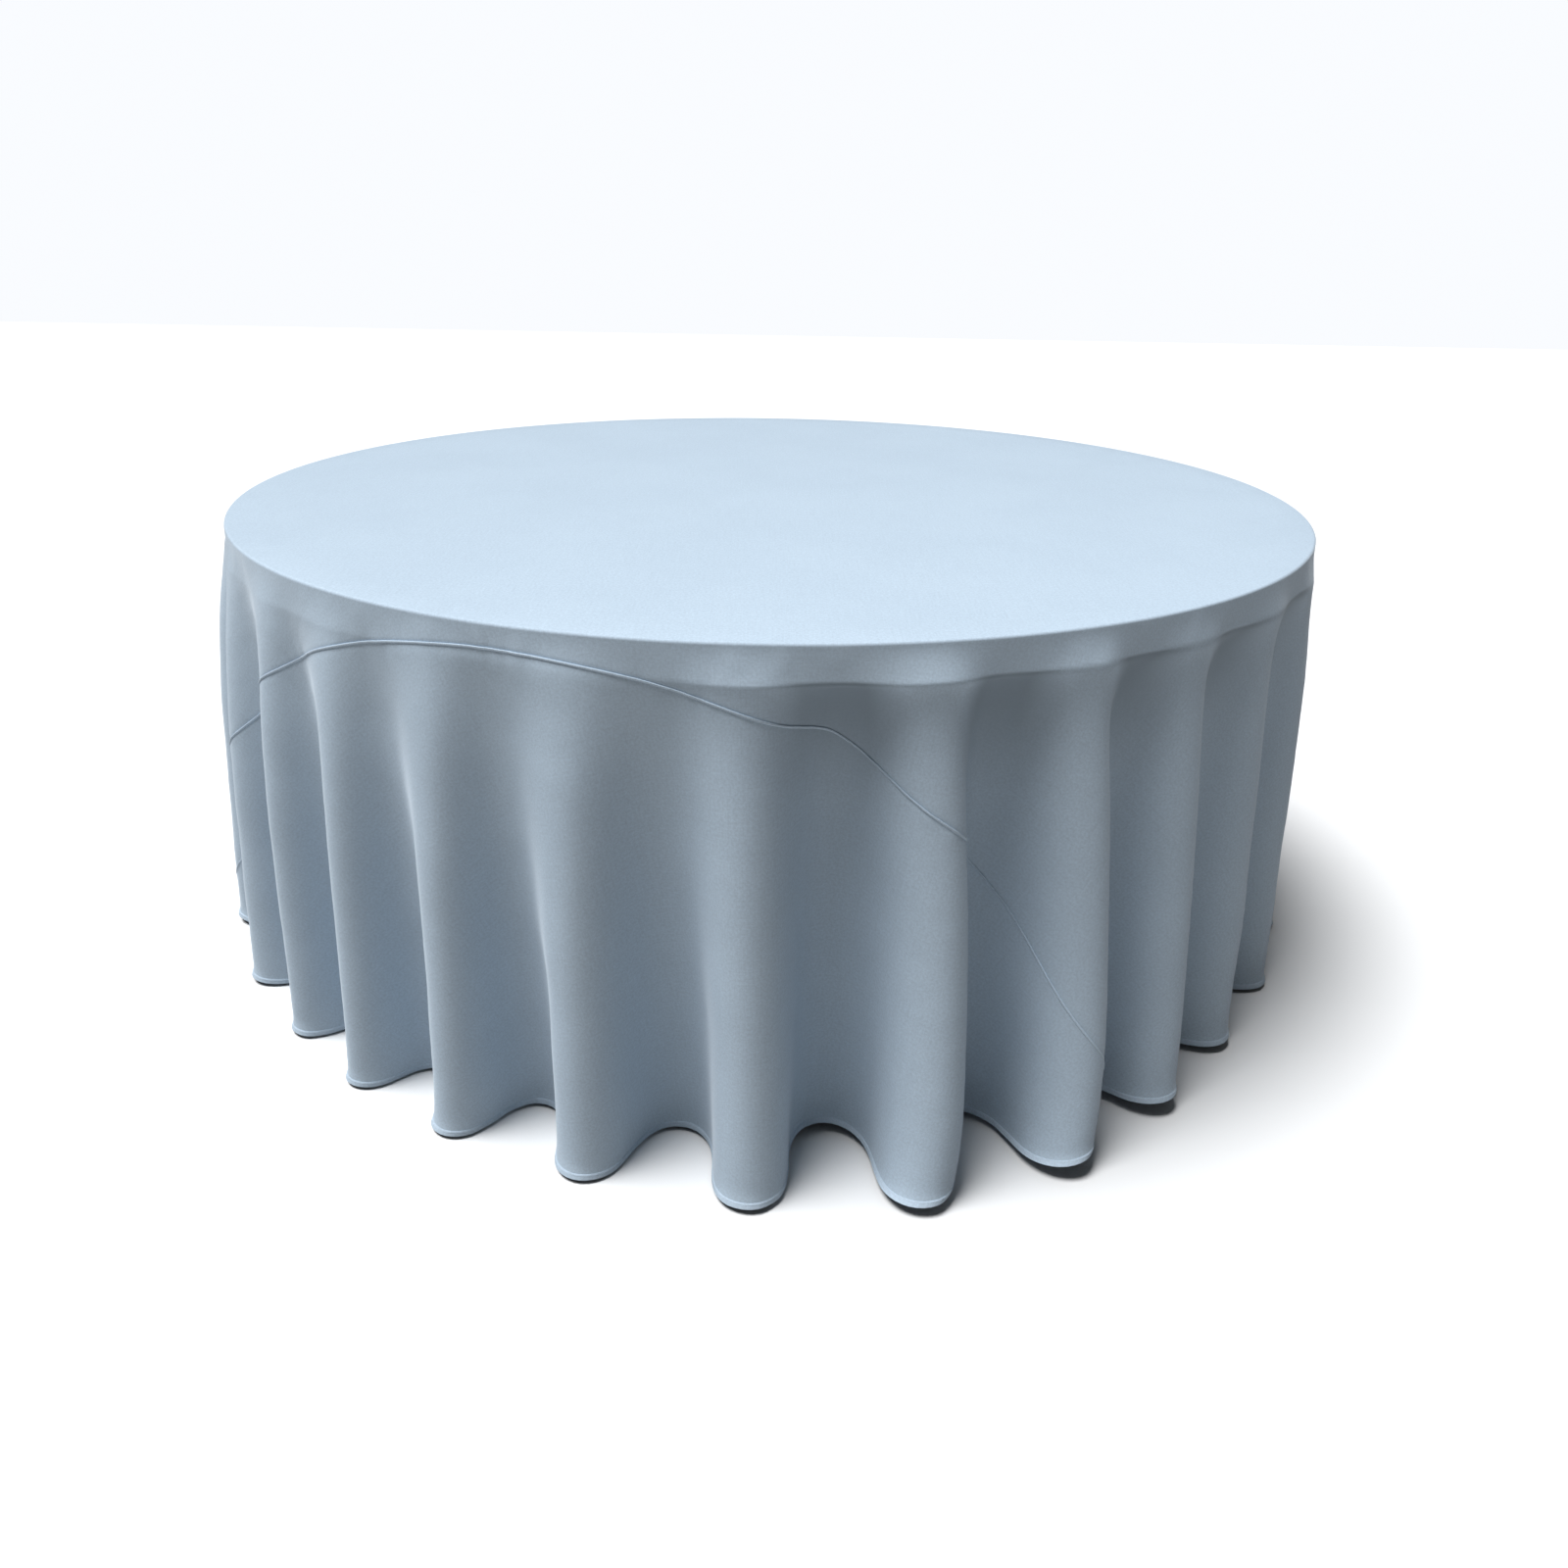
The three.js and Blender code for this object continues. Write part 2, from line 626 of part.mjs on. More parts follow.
// A closed shell over rows of distances, one list for each direction.
// A ring closes on itself; a strip gets end walls. With a centre, the first row is one point.
function clothShell(columns, thickness, { ring = false, centred = false } = {}) {
  const rows = columns[0].distances.length;
  const positions = [];
  const faces = [];
  const layers = [1, -1].map((layer) => columns.map(({ direction, distances }) => distances.map((distance) => {
    const point = clothPoint(direction, distance);
    point.addScaledVector(clothNormal(direction, distance), (layer * thickness) / 2);
    positions.push(point.x, point.y, point.z);
    return positions.length / 3 - 1;
  })));
  const spans = ring ? columns.length : columns.length - 1;
  const quad = (a, b, c, d) => faces.push(a, b, c, a, c, d);
  for (let index = 0; index < spans; index += 1) {
    const next = (index + 1) % columns.length;
    const [outer, inner] = layers;
    for (let row = 0; row + 1 < rows; row += 1) {
      quad(outer[index][row], outer[index][row + 1], outer[next][row + 1], outer[next][row]);
      quad(inner[index][row], inner[next][row], inner[next][row + 1], inner[index][row + 1]);
    }
    const last = rows - 1;
    quad(outer[index][last], inner[index][last], inner[next][last], outer[next][last]);
    if (!centred) quad(outer[index][0], outer[next][0], inner[next][0], inner[index][0]);
  }
  if (centred) {
    const height = rollHeight + rollRadius;
    for (const [layer, column] of layers.entries()) {
      const sign = layer === 0 ? 1 : -1;
      positions.push(0, 0, height + (sign * thickness) / 2);
      const middle = positions.length / 3 - 1;
      for (let index = 0; index < spans; index += 1) {
        const next = (index + 1) % columns.length;
        if (layer === 0) faces.push(middle, column[index][0], column[next][0]);
        else faces.push(middle, column[next][0], column[index][0]);
      }
    }
  }
  if (!ring) {
    const end = columns.length - 1;
    for (let row = 0; row + 1 < rows; row += 1) {
      const [outer, inner] = layers;
      quad(outer[0][row], inner[0][row], inner[0][row + 1], outer[0][row + 1]);
      quad(outer[end][row], outer[end][row + 1], inner[end][row + 1], inner[end][row]);
    }
  }
  const geometry = new THREE.BufferGeometry();
  geometry.setAttribute('position', new THREE.Float32BufferAttribute(positions, 3));
  geometry.setIndex(faces);
  return geometry;
}

function evenly(from, to, count) {
  return Array.from({ length: count + 1 }, (_, index) => from + ((to - from) * index) / count);
}

function centrePanel() {
  const seamHalf = seamWidth / 2 + seamGap;
  const columns = directions.map((direction) => {
    const seams = Object.values(seamCentres).map((centre) => seamLine(direction, centre) - seamHalf);
    const lowest = Math.min(panelEdge, ...seams);
    const overEdge = [0, rollLength / 2];
    return { direction, distances: [...overEdge, ...evenly(rollLength, lowest, skirtRows)] };
  });
  return clothShell(columns, clothThickness, { ring: true, centred: true });
}

function sidePanel(centre) {
  const columns = directionsWithin(sidePanelSpan(centre)).map((direction) => {
    const upper = seamLine(direction, centre) + seamWidth / 2 + seamGap;
    return { direction, distances: evenly(upper, panelEdge, skirtRows) };
  });
  return clothShell(columns, clothThickness);
}

function seamStrip(centre) {
  const columns = directionsWithin(seamSpan(centre)).map((direction) => {
    const middle = seamLine(direction, centre);
    return { direction, distances: [middle - seamWidth / 2, middle + seamWidth / 2] };
  });
  return clothShell(columns, seamThickness);
}

function hemBand() {
  const columns = directions.map((direction) => ({ direction, distances: [clothEdge - hemWidth, clothEdge] }));
  return clothShell(columns, hemThickness, { ring: true });
}

function buildTablecloth() {
  const cloth = new THREE.Group();
  cloth.add(piece('centre_panel', centrePanel(), clothFinish));
  for (const [name, centre] of Object.entries(seamCentres)) {
    cloth.add(piece(`${name}_side_panel`, sidePanel(centre), clothFinish));
    cloth.add(piece(`${name}_seam`, seamStrip(centre), seamFinish));
  }
  cloth.add(piece('hem_band', hemBand(), seamFinish));
  return cloth;
}

// ---------------------------------------------------------------- assembly

const model = new THREE.Group();
model.add(buildTableTop());
for (const [frameName, side] of [['left', -1], ['right', 1]]) {
  model.add(buildLegFrame(frameName, side));
  model.add(buildStays(frameName, side));
}
model.add(buildTablecloth());

export default model;
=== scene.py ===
"""A round folding banquet table dressed with a floor-length, seamed round tablecloth.

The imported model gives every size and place. This script drapes the cloth from its flat cut,
dresses the table's own parts, and sets up a plain studio. Everything is in metres, with the
front of the table towards -Y. Directions round the table are in degrees from the front,
towards +X.
"""

from __future__ import annotations

import json
import logging
import math
from collections.abc import Iterable
from dataclasses import dataclass, field
from enum import Enum
from functools import cache

import bmesh
import bpy
import numpy as np
from mathutils import Matrix, Vector

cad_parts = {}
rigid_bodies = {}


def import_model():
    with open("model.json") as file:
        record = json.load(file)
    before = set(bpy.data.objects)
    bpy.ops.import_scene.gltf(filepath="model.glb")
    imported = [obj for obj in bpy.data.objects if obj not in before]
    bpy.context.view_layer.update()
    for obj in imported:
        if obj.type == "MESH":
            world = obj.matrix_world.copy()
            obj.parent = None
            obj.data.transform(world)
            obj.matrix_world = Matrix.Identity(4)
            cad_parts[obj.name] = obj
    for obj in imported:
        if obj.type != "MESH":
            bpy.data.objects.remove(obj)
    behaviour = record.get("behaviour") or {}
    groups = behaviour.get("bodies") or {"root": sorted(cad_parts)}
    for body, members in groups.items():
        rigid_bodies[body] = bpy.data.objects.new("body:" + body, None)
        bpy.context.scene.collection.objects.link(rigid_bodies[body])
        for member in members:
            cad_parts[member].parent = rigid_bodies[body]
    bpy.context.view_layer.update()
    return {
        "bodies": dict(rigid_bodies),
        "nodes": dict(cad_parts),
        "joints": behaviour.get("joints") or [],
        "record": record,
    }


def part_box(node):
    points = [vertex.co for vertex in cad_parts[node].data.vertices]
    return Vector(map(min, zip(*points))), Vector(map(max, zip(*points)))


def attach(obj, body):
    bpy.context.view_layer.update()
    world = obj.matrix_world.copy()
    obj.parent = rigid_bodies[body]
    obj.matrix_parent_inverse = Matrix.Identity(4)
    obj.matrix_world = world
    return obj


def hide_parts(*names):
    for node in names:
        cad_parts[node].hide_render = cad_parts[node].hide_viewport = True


LOG = logging.getLogger("tablecloth")
FULL_TURN = 360.0
MM = 0.001
TINY = 1e-9
SHARP_ANGLE = math.radians(38)
SHARP_CREST = 0.57
CLOTH_MAP = "Flat cloth"
# How deep each point lies in a quick valley; the cloth's material uses it to place painted shade and painted
# light.
VALLEY_SHARE = "Valley share"
SURFACE_MAP = "Surface"
ALONG_X = Vector((1, 0, 0))
ALONG_Y = Vector((0, 1, 0))
ALONG_Z = Vector((0, 0, 1))

Colour = tuple[float, float, float]
Corner = tuple[float, float]
Piece = bpy.types.Object
Material = bpy.types.Material
Socket = bpy.types.NodeSocket


class Side(Enum):
    """Which leg frame, by the sign of its X."""

    LEFT = -1
    RIGHT = 1

    @property
    def word(self) -> str:
        """The side's word in node names."""
        return self.name.lower()


class End(Enum):
    """Which end of a leg frame, by the sign of its Y."""

    FRONT = -1
    BACK = 1

    @property
    def word(self) -> str:
        """The end's word in node names."""
        return self.name.lower()


# ------------------------------------------------------------------ meshes


def make_object(name: str, vertices: np.ndarray, faces: list, smooth: bool = True) -> Piece:
    """Makes a mesh object from plain lists.

    Args:
        name: the piece's name.
        vertices: points, one row each.
        faces: tuples of vertex numbers.
        smooth: whether the faces are shaded smooth.

    Returns:
        The new object, linked to the scene.
    """
    mesh = bpy.data.meshes.new(name)
    mesh.from_pydata(vertices.tolist(), [], faces)
    mesh.polygons.foreach_set("use_smooth", [smooth] * len(mesh.polygons))
    mesh.update()
    made = bpy.data.objects.new(name, mesh)
    bpy.context.scene.collection.objects.link(made)
    return made


def grid_faces(columns: int, rows: int, ring: bool, closed_rows: bool = False) -> list:
    """Lists the quads of a grid whose vertices are stored column by column.

    Args:
        columns: how many columns there are.
        rows: how many points each column has.
        ring: whether the last column joins the first.
        closed_rows: whether each column's last point joins its first.

    Returns:
        Tuples of four vertex numbers.
    """
    faces = []
    spans = columns if ring else columns - 1
    steps = rows if closed_rows else rows - 1
    for column in range(spans):
        here = column * rows
        there = ((column + 1) % columns) * rows
        for row in range(steps):
            below = (row + 1) % rows
            faces.append((here + row, here + below, there + below, there + row))
    return faces


def add_share(piece: Piece, name: str, shares: np.ndarray) -> None:
    """Gives a piece one number from 0 to 1 at each vertex."""
    layer = piece.data.attributes.new(name, "FLOAT", "POINT")
    layer.data.foreach_set("value", shares.astype(np.float32).ravel())


def add_map(piece: Piece, name: str, flat: np.ndarray) -> None:
    """Gives a piece a map of flat coordinates, in metres.

    Args:
        piece: the piece.
        name: the map's name.
        flat: one (u, v) for each vertex.
    """
    layer = piece.data.uv_layers.new(name=name)
    loops = np.empty(len(piece.data.loops), dtype=np.int32)
    piece.data.loops.foreach_get("vertex_index", loops)
    layer.data.foreach_set("uv", flat[loops].astype(np.float32).ravel())


def scaled(colour: Colour, share: float) -> Colour:
    """Returns a colour made darker, or a little lighter, by a share."""
    red, green, blue = colour
    return (share * red, share * green, share * blue)


def oblong(left: float, right: float, low: float, high: float) -> list[Corner]:
    """Returns an oblong's corners, anticlockwise from its lower left."""
    return [(left, low), (right, low), (right, high), (left, high)]


def facing(origin: Vector, axis: Vector, across: Vector) -> Matrix:
    """Returns the matrix that stands a local Z on an axis, with local X as near across as can be.

    Args:
        origin: where the local origin goes.
        axis: the way that local Z points.
        across: the way that local X leans towards.

    Returns:
        The matrix.
    """
    upright = axis.normalized()
    sideways = (across - across.project(upright)).normalized()
    turn = Matrix((sideways, upright.cross(sideways), upright)).transposed().to_4x4()
    return Matrix.Translation(origin) @ turn


def softened(corners: list[Corner], radius: float, closed: bool = False, steps: int = 3) -> list[Corner]:
    """Rounds the corners of an outline.

    Args:
        corners: the outline's corners.
        radius: how far from each corner the rounding starts.
        closed: whether the last corner joins the first.
        steps: how many spans each rounding has.

    Returns:
        The outline's points.
    """
    points = []
    count = len(corners)
    for index, corner in enumerate(corners):
        if not closed and index in (0, count - 1):
            points.append(corner)
            continue
        here = np.array(corner)
        ends = []
        for neighbour in (corners[index - 1], corners[(index + 1) % count]):
            away = np.array(neighbour) - here
            length = float(np.linalg.norm(away))
            ends.append(here + away / length * min(radius, length / 2.1))
        for share in np.linspace(0, 1, steps + 1):
            point = (1 - share) ** 2 * ends[0] + 2 * share * (1 - share) * here + share**2 * ends[1]
            points.append((float(point[0]), float(point[1])))
    return points


def arc(centre: Corner, radius: float, start: float, end: float, steps: int = 24) -> list[Corner]:
    """Returns points of an arc.

    Args:
        centre: the arc's centre.
        radius: its radius.
        start: the first point's angle, in degrees.
        end: the last point's angle, further anticlockwise when it is larger than start.
        steps: how many spans it has.

    Returns:
        The points, in order.
    """
    angles = np.radians(np.linspace(start, end, steps + 1))
    return [(centre[0] + radius * math.cos(a), centre[1] + radius * math.sin(a)) for a in angles]


def finish_shading(piece: Piece) -> None:
    """Shades a hard piece smooth, with its sharp edges kept."""
    piece.data.polygons.foreach_set("use_smooth", [True] * len(piece.data.polygons))
    piece.data.set_sharp_from_angle(angle=SHARP_ANGLE)
    piece.data.update()


def lathe(
    name: str,
    profile: list[Corner],
    place: Matrix,
    segments: int = 48,
    closed: bool = False,
    planar: bool = False,
) -> Piece:
    """Turns a profile round its axis.

    Args:
        name: the piece's name.
        profile: (radius, height) pairs, going up on the outside.
        place: where the local Z axis stands.
        segments: how many spans there are round the axis.
        closed: whether the profile's last point joins its first.
        planar: whether the surface map is seen along the axis, instead of wrapped round it.

    Returns:
        The piece.
    """
    vertices: list[tuple[float, float, float]] = []
    rings: list[list[int]] = []
    for radius, height in profile:
        first = len(vertices)
        if radius < TINY:
            vertices.append((0.0, 0.0, height))
            rings.append([first] * (segments + 1))
            continue
        for spoke in range(segments):
            angle = 2 * math.pi * spoke / segments
            vertices.append((radius * math.cos(angle), radius * math.sin(angle), height))
        rings.append([first + spoke % segments for spoke in range(segments + 1)])
    widest = max(radius for radius, _height in profile)
    around = 2 * math.pi * widest / segments
    spans = [math.dist(a, b) for a, b in zip(profile, [*profile[1:], profile[0]])]
    travelled = np.concatenate([[0.0], np.cumsum(spans)])
    faces, maps = [], []
    for step in range(len(profile) if closed else len(profile) - 1):
        lower, upper = rings[step], rings[(step + 1) % len(rings)]
        low, high = travelled[step], travelled[step + 1]
        for spoke in range(segments):
            u, u_next = spoke * around, (spoke + 1) * around
            corners = [
                (lower[spoke], (u, low)),
                (lower[spoke + 1], (u_next, low)),
                (upper[spoke + 1], (u_next, high)),
                (upper[spoke], (u, high)),
            ]
            kept = [corner for at, corner in enumerate(corners) if corner[0] != corners[at - 1][0]]
            faces.append(tuple(vertex for vertex, _uv in kept))
            maps.extend(uv for _vertex, uv in kept)
    piece = make_object(name, np.array(vertices), faces)
    if planar:
        add_map(piece, SURFACE_MAP, np.array(vertices)[:, :2])
    else:
        layer = piece.data.uv_layers.new(name=SURFACE_MAP)
        layer.data.foreach_set("uv", np.array(maps, dtype=np.float32).ravel())
    piece.data.transform(place)
    finish_shading(piece)
    return piece


def plate(
    name: str,
    outline: list[Corner],
    holes: list[list[Corner]],
    thickness: float,
    rounding: float,
    place: Matrix,
) -> Piece:
    """Cuts a flat plate with rounded edges.

    Args:
        name: the piece's name.
        outline: the outer edge, in local X and Y.
        holes: the edges of its holes.
        thickness: the plate's thickness, centred on local Z.
        rounding: the radius of its edges.
        place: where the plate goes.

    Returns:
        The piece.
    """
    curve = bpy.data.curves.new(name, "CURVE")
    curve.dimensions = "2D"
    curve.fill_mode = "BOTH"
    for loop in (outline, *holes):
        spline = curve.splines.new("POLY")
        spline.points.add(len(loop) - 1)
        spline.points.foreach_set("co", [value for x, y in loop for value in (x, y, 0.0, 1.0)])
        spline.use_cyclic_u = True
    curve.extrude = thickness / 2 - rounding
    curve.bevel_depth = rounding
    curve.bevel_resolution = 2
    curve.offset = -rounding
    drawn = bpy.data.objects.new(name, curve)
    bpy.context.scene.collection.objects.link(drawn)
    cut = bpy.data.meshes.new_from_object(drawn.evaluated_get(bpy.context.evaluated_depsgraph_get()))
    bpy.data.objects.remove(drawn)
    bpy.data.curves.remove(curve)
    cut.name = name
    weld = bmesh.new()
    weld.from_mesh(cut)
    bmesh.ops.remove_doubles(weld, verts=weld.verts, dist=0.002 * MM)
    bmesh.ops.recalc_face_normals(weld, faces=weld.faces)
    weld.to_mesh(cut)
    weld.free()
    for layer in list(cut.uv_layers):
        cut.uv_layers.remove(layer)
    piece = bpy.data.objects.new(name, cut)
    bpy.context.scene.collection.objects.link(piece)
    places = np.array([vertex.co[:2] for vertex in cut.vertices])
    add_map(piece, SURFACE_MAP, places)
    cut.transform(place)
    finish_shading(piece)
    return piece


def merged(name: str, pieces: list[Piece]) -> Piece:
    """Joins pieces that are one part on the real object.

    Args:
        name: the joined piece's name.
        pieces: the pieces, which are used up.

    Returns:
        The joined piece.
    """
    together = bmesh.new()
    for piece in pieces:
        together.from_mesh(piece.data)
    mesh = bpy.data.meshes.new(name)
    together.to_mesh(mesh)
    together.free()
    for piece in pieces:
        used = piece.data
        bpy.data.objects.remove(piece)
        bpy.data.meshes.remove(used)
    joined = bpy.data.objects.new(name, mesh)
    bpy.context.scene.collection.objects.link(joined)
    finish_shading(joined)
    return joined


# ------------------------------------------------------------------ shader nodes


class Tree:
    """A node tree under construction, with short ways to add and join nodes."""

    def __init__(self, tree: bpy.types.NodeTree) -> None:
        """Keeps the tree that is being built."""
        self.tree = tree

    def add(self, kind: str, **settings: object) -> bpy.types.Node:
        """Adds a node and sets its properties."""
        node = self.tree.nodes.new(kind)
        for name, value in settings.items():
            setattr(node, name, value)
        return node

    def put(self, node: bpy.types.Node, socket: str | int, value: object) -> None:
        """Links a socket to an input, or sets the input to a plain value."""
        if isinstance(value, Socket):
            self.tree.links.new(value, node.inputs[socket])
        else:
            node.inputs[socket].default_value = value

    def place(self) -> Socket:
        """Returns where each point is, in the piece's own metres."""
        return self.add("ShaderNodeTexCoord").outputs["Object"]

    def flat(self, name: str) -> Socket:
        """Returns each point's place on one of the piece's maps."""
        return self.add("ShaderNodeUVMap", uv_map=name).outputs["UV"]

    def math(self, operation: str, *values: object, clamp: bool = False) -> Socket:
        """Works out one number from others."""
        node = self.add("ShaderNodeMath", operation=operation, use_clamp=clamp)
        for index, value in enumerate(values):
            self.put(node, index, value)
        return node.outputs[0]

    def times(self, first: object, second: object, clamp: bool = False) -> Socket:
        """Multiplies two numbers."""
        return self.math("MULTIPLY", first, second, clamp=clamp)

    def plus(self, first: object, second: object) -> Socket:
        """Adds two numbers."""
        return self.math("ADD", first, second)

    def minus(self, first: object, second: object, clamp: bool = False) -> Socket:
        """Takes the second number from the first."""
        return self.math("SUBTRACT", first, second, clamp=clamp)

    def fade(self, value: object, start: float, end: float, low: float = 0.0, high: float = 1.0) -> Socket:
        """Goes smoothly from low to high as the value goes from start to end."""
        node = self.add("ShaderNodeMapRange", interpolation_type="SMOOTHSTEP")
        sockets = ("Value", "From Min", "From Max", "To Min", "To Max")
        for name, item in zip(sockets, (value, start, end, low, high)):
            self.put(node, name, item)
        return node.outputs["Result"]

    def split(self, vector: Socket) -> tuple[Socket, ...]:
        """Returns the three parts of a vector."""
        node = self.add("ShaderNodeSeparateXYZ")
        self.put(node, 0, vector)
        return tuple(node.outputs)

    def join(self, x: object, y: object, z: object = 0.0) -> Socket:
        """Makes a vector from three parts."""
        node = self.add("ShaderNodeCombineXYZ")
        for index, value in enumerate((x, y, z)):
            self.put(node, index, value)
        return node.outputs[0]

    def noise(self, vector: object, scale: object, detail: float = 3.0, roughness: float = 0.5) -> Socket:
        """Returns soft noise from 0 to 1."""
        node = self.add("ShaderNodeTexNoise")
        settings = {"Vector": vector, "Scale": scale, "Detail": detail, "Roughness": roughness}
        for name, value in settings.items():
            self.put(node, name, value)
        return node.outputs["Fac"]

    def blend(self, share: object, first: object, second: object, kind: str = "MIX") -> Socket:
        """Mixes two colours."""
        node = self.add("ShaderNodeMix", data_type="RGBA", blend_type=kind)
        self.put(node, "Factor", share)
        for socket, value in ((6, first), (7, second)):
            shade = (*value, 1.0) if isinstance(value, tuple) else value
            self.put(node, socket, shade)
        return node.outputs[2]

    def bump(self, height: object, depth: float, strength: float = 1.0, normal: object = None) -> Socket:
        """Turns a height from 0 to 1 into a normal."""
        node = self.add("ShaderNodeBump")
        self.put(node, "Strength", strength)
        self.put(node, "Distance", depth)
        self.put(node, "Height", height)
        if normal is not None:
            self.put(node, "Normal", normal)
        return node.outputs["Normal"]

    def use(self, group: bpy.types.NodeTree, **values: object) -> bpy.types.NodeOutputs:
        """Places a node group with its own values."""
        node = self.add("ShaderNodeGroup", node_tree=group)
        for name, value in values.items():
            self.put(node, name.replace("_", " "), value)
        return node.outputs


class Effects:
    """The effects that several finishes share, each a node group made once."""

    @staticmethod
    def start(name: str, inputs: dict[str, float | None], outputs: Iterable[str]) -> tuple:
        """Starts a node group.

        Args:
            name: the group's name.
            inputs: each input's name, with a number's default or None for a vector.
            outputs: the names of the outputs, which are numbers.

        Returns:
            The tree, the group's input sockets, and the node that takes its outputs.
        """
        group = bpy.data.node_groups.new(name, "ShaderNodeTree")
        for label, default in inputs.items():
            kind = "NodeSocketVector" if default is None else "NodeSocketFloat"
            socket = group.interface.new_socket(name=label, in_out="INPUT", socket_type=kind)
            if default is not None:
                socket.default_value = default
        for label in outputs:
            group.interface.new_socket(name=label, in_out="OUTPUT", socket_type="NodeSocketFloat")
        tree = Tree(group)
        return tree, tree.add("NodeGroupInput").outputs, tree.add("NodeGroupOutput")

    @staticmethod
    @cache
    def weave() -> bpy.types.NodeTree:
        """Threads that pass over and under each other, on a flat map in metres."""
        inputs = {"Vector": None, "Pitch": 0.6 * MM}
        tree, given, out = Effects.start("plain weave", inputs, ("Height", "Thread"))
        u, v, _w = tree.split(given["Vector"])
        turns = tree.math("DIVIDE", math.pi, given["Pitch"])
        drift = tree.noise(given["Vector"], 900.0, 2.0)
        sway = tree.times(tree.minus(drift, 0.5), 1.6)
        warp = tree.math("SINE", tree.plus(tree.times(u, turns), sway))
        weft = tree.math("SINE", tree.plus(tree.times(v, turns), sway))
        over = tree.math("MULTIPLY_ADD", tree.times(warp, weft), 0.5, 0.5)
        tree.put(out, "Height", over)
        slub = tree.noise(tree.join(tree.times(u, 12.0), tree.times(v, 900.0)), 1.0, 2.0)
        slub_across = tree.noise(tree.join(tree.times(u, 900.0), tree.times(v, 12.0)), 1.0, 2.0)
        tree.put(out, "Thread", tree.times(tree.plus(slub, slub_across), 0.5))
        return tree.tree

    @staticmethod
    @cache
    def mottle() -> bpy.types.NodeTree:
        """Patchy variation at two sizes."""
        inputs = {"Vector": None, "Broad": 3.0, "Fine": 60.0}
        tree, given, out = Effects.start("soft mottle", inputs, ("Value",))
        broad = tree.noise(given["Vector"], given["Broad"], 2.0)
        fine = tree.noise(given["Vector"], given["Fine"], 4.0)
        tree.put(out, "Value", tree.plus(tree.times(broad, 0.6), tree.times(fine, 0.4)))
        return tree.tree

    @staticmethod
    @cache
    def wood() -> bpy.types.NodeTree:
        """Long grain that runs along the map's first axis, with pores."""
        inputs = {"Vector": None, "Figure": 9.0}
        tree, given, out = Effects.start("long grain", inputs, ("Grain", "Pores"))
        u, v, _w = tree.split(given["Vector"])
        wander = tree.noise(tree.join(tree.times(u, 1.1), tree.times(v, 4.0)), 1.0, 2.0)
        lines = tree.plus(tree.times(v, given["Figure"]), tree.times(wander, 4.5))
        wave = tree.math("SINE", tree.times(lines, 2 * math.pi))
        rings = tree.math("MULTIPLY_ADD", wave, 0.5, 0.5)
        strands = tree.join(tree.times(u, 6.0), tree.times(v, 260.0))
        fibre = tree.noise(strands, 1.0, 4.0, 0.6)
        grain = tree.plus(tree.times(rings, 0.45), tree.times(fibre, 0.55))
        tree.put(out, "Grain", grain)
        dash = tree.noise(tree.join(tree.times(u, 45.0), tree.times(v, 1100.0)), 1.0, 1.0)
        tree.put(out, "Pores", tree.fade(dash, 0.6, 0.72))
        return tree.tree

    @staticmethod
    @cache
    def wear() -> bpy.types.NodeTree:
        """Rubbed edges, broken up by noise."""
        inputs = {"Vector": None, "Reach": 0.08, "Patch": 55.0}
        tree, given, out = Effects.start("edge wear", inputs, ("Mask",))
        crest = tree.add("ShaderNodeNewGeometry").outputs["Pointiness"]
        edge = tree.minus(crest, SHARP_CREST)
        patch = tree.noise(given["Vector"], given["Patch"], 4.0, 0.65)
        edges = tree.math("DIVIDE", edge, given["Reach"], clamp=True)
        tree.put(out, "Mask", tree.times(edges, tree.fade(patch, 0.42, 0.62)))
        return tree.tree

    @staticmethod
    @cache
    def dust() -> bpy.types.NodeTree:
        """Dust and scuffs that gather on what faces up and near the floor."""
        tree, given, out = Effects.start("settled dust", {"Vector": None, "Reach": 0.25}, ("Mask",))
        _x, _y, up = tree.split(tree.add("ShaderNodeNewGeometry").outputs["Normal"])
        _a, _b, height = tree.split(given["Vector"])
        low = tree.minus(1.0, tree.math("DIVIDE", height, given["Reach"]), clamp=True)
        patch = tree.noise(given["Vector"], 38.0, 5.0, 0.6)
        lying = tree.plus(tree.times(tree.math("MAXIMUM", up, 0.0), 0.6), low)
        tree.put(out, "Mask", tree.times(lying, tree.fade(patch, 0.35, 0.75), clamp=True))
        return tree.tree


def start_material(name: str) -> tuple[Material, Tree, bpy.types.Node]:
    """Starts a material with a plain Principled shader.

    Returns:
        The material, its tree, and the shader.
    """
    material = bpy.data.materials.new(name)
    material.use_nodes = True
    tree = Tree(material.node_tree)
    return material, tree, material.node_tree.nodes["Principled BSDF"]


# ------------------------------------------------------------------ finishes


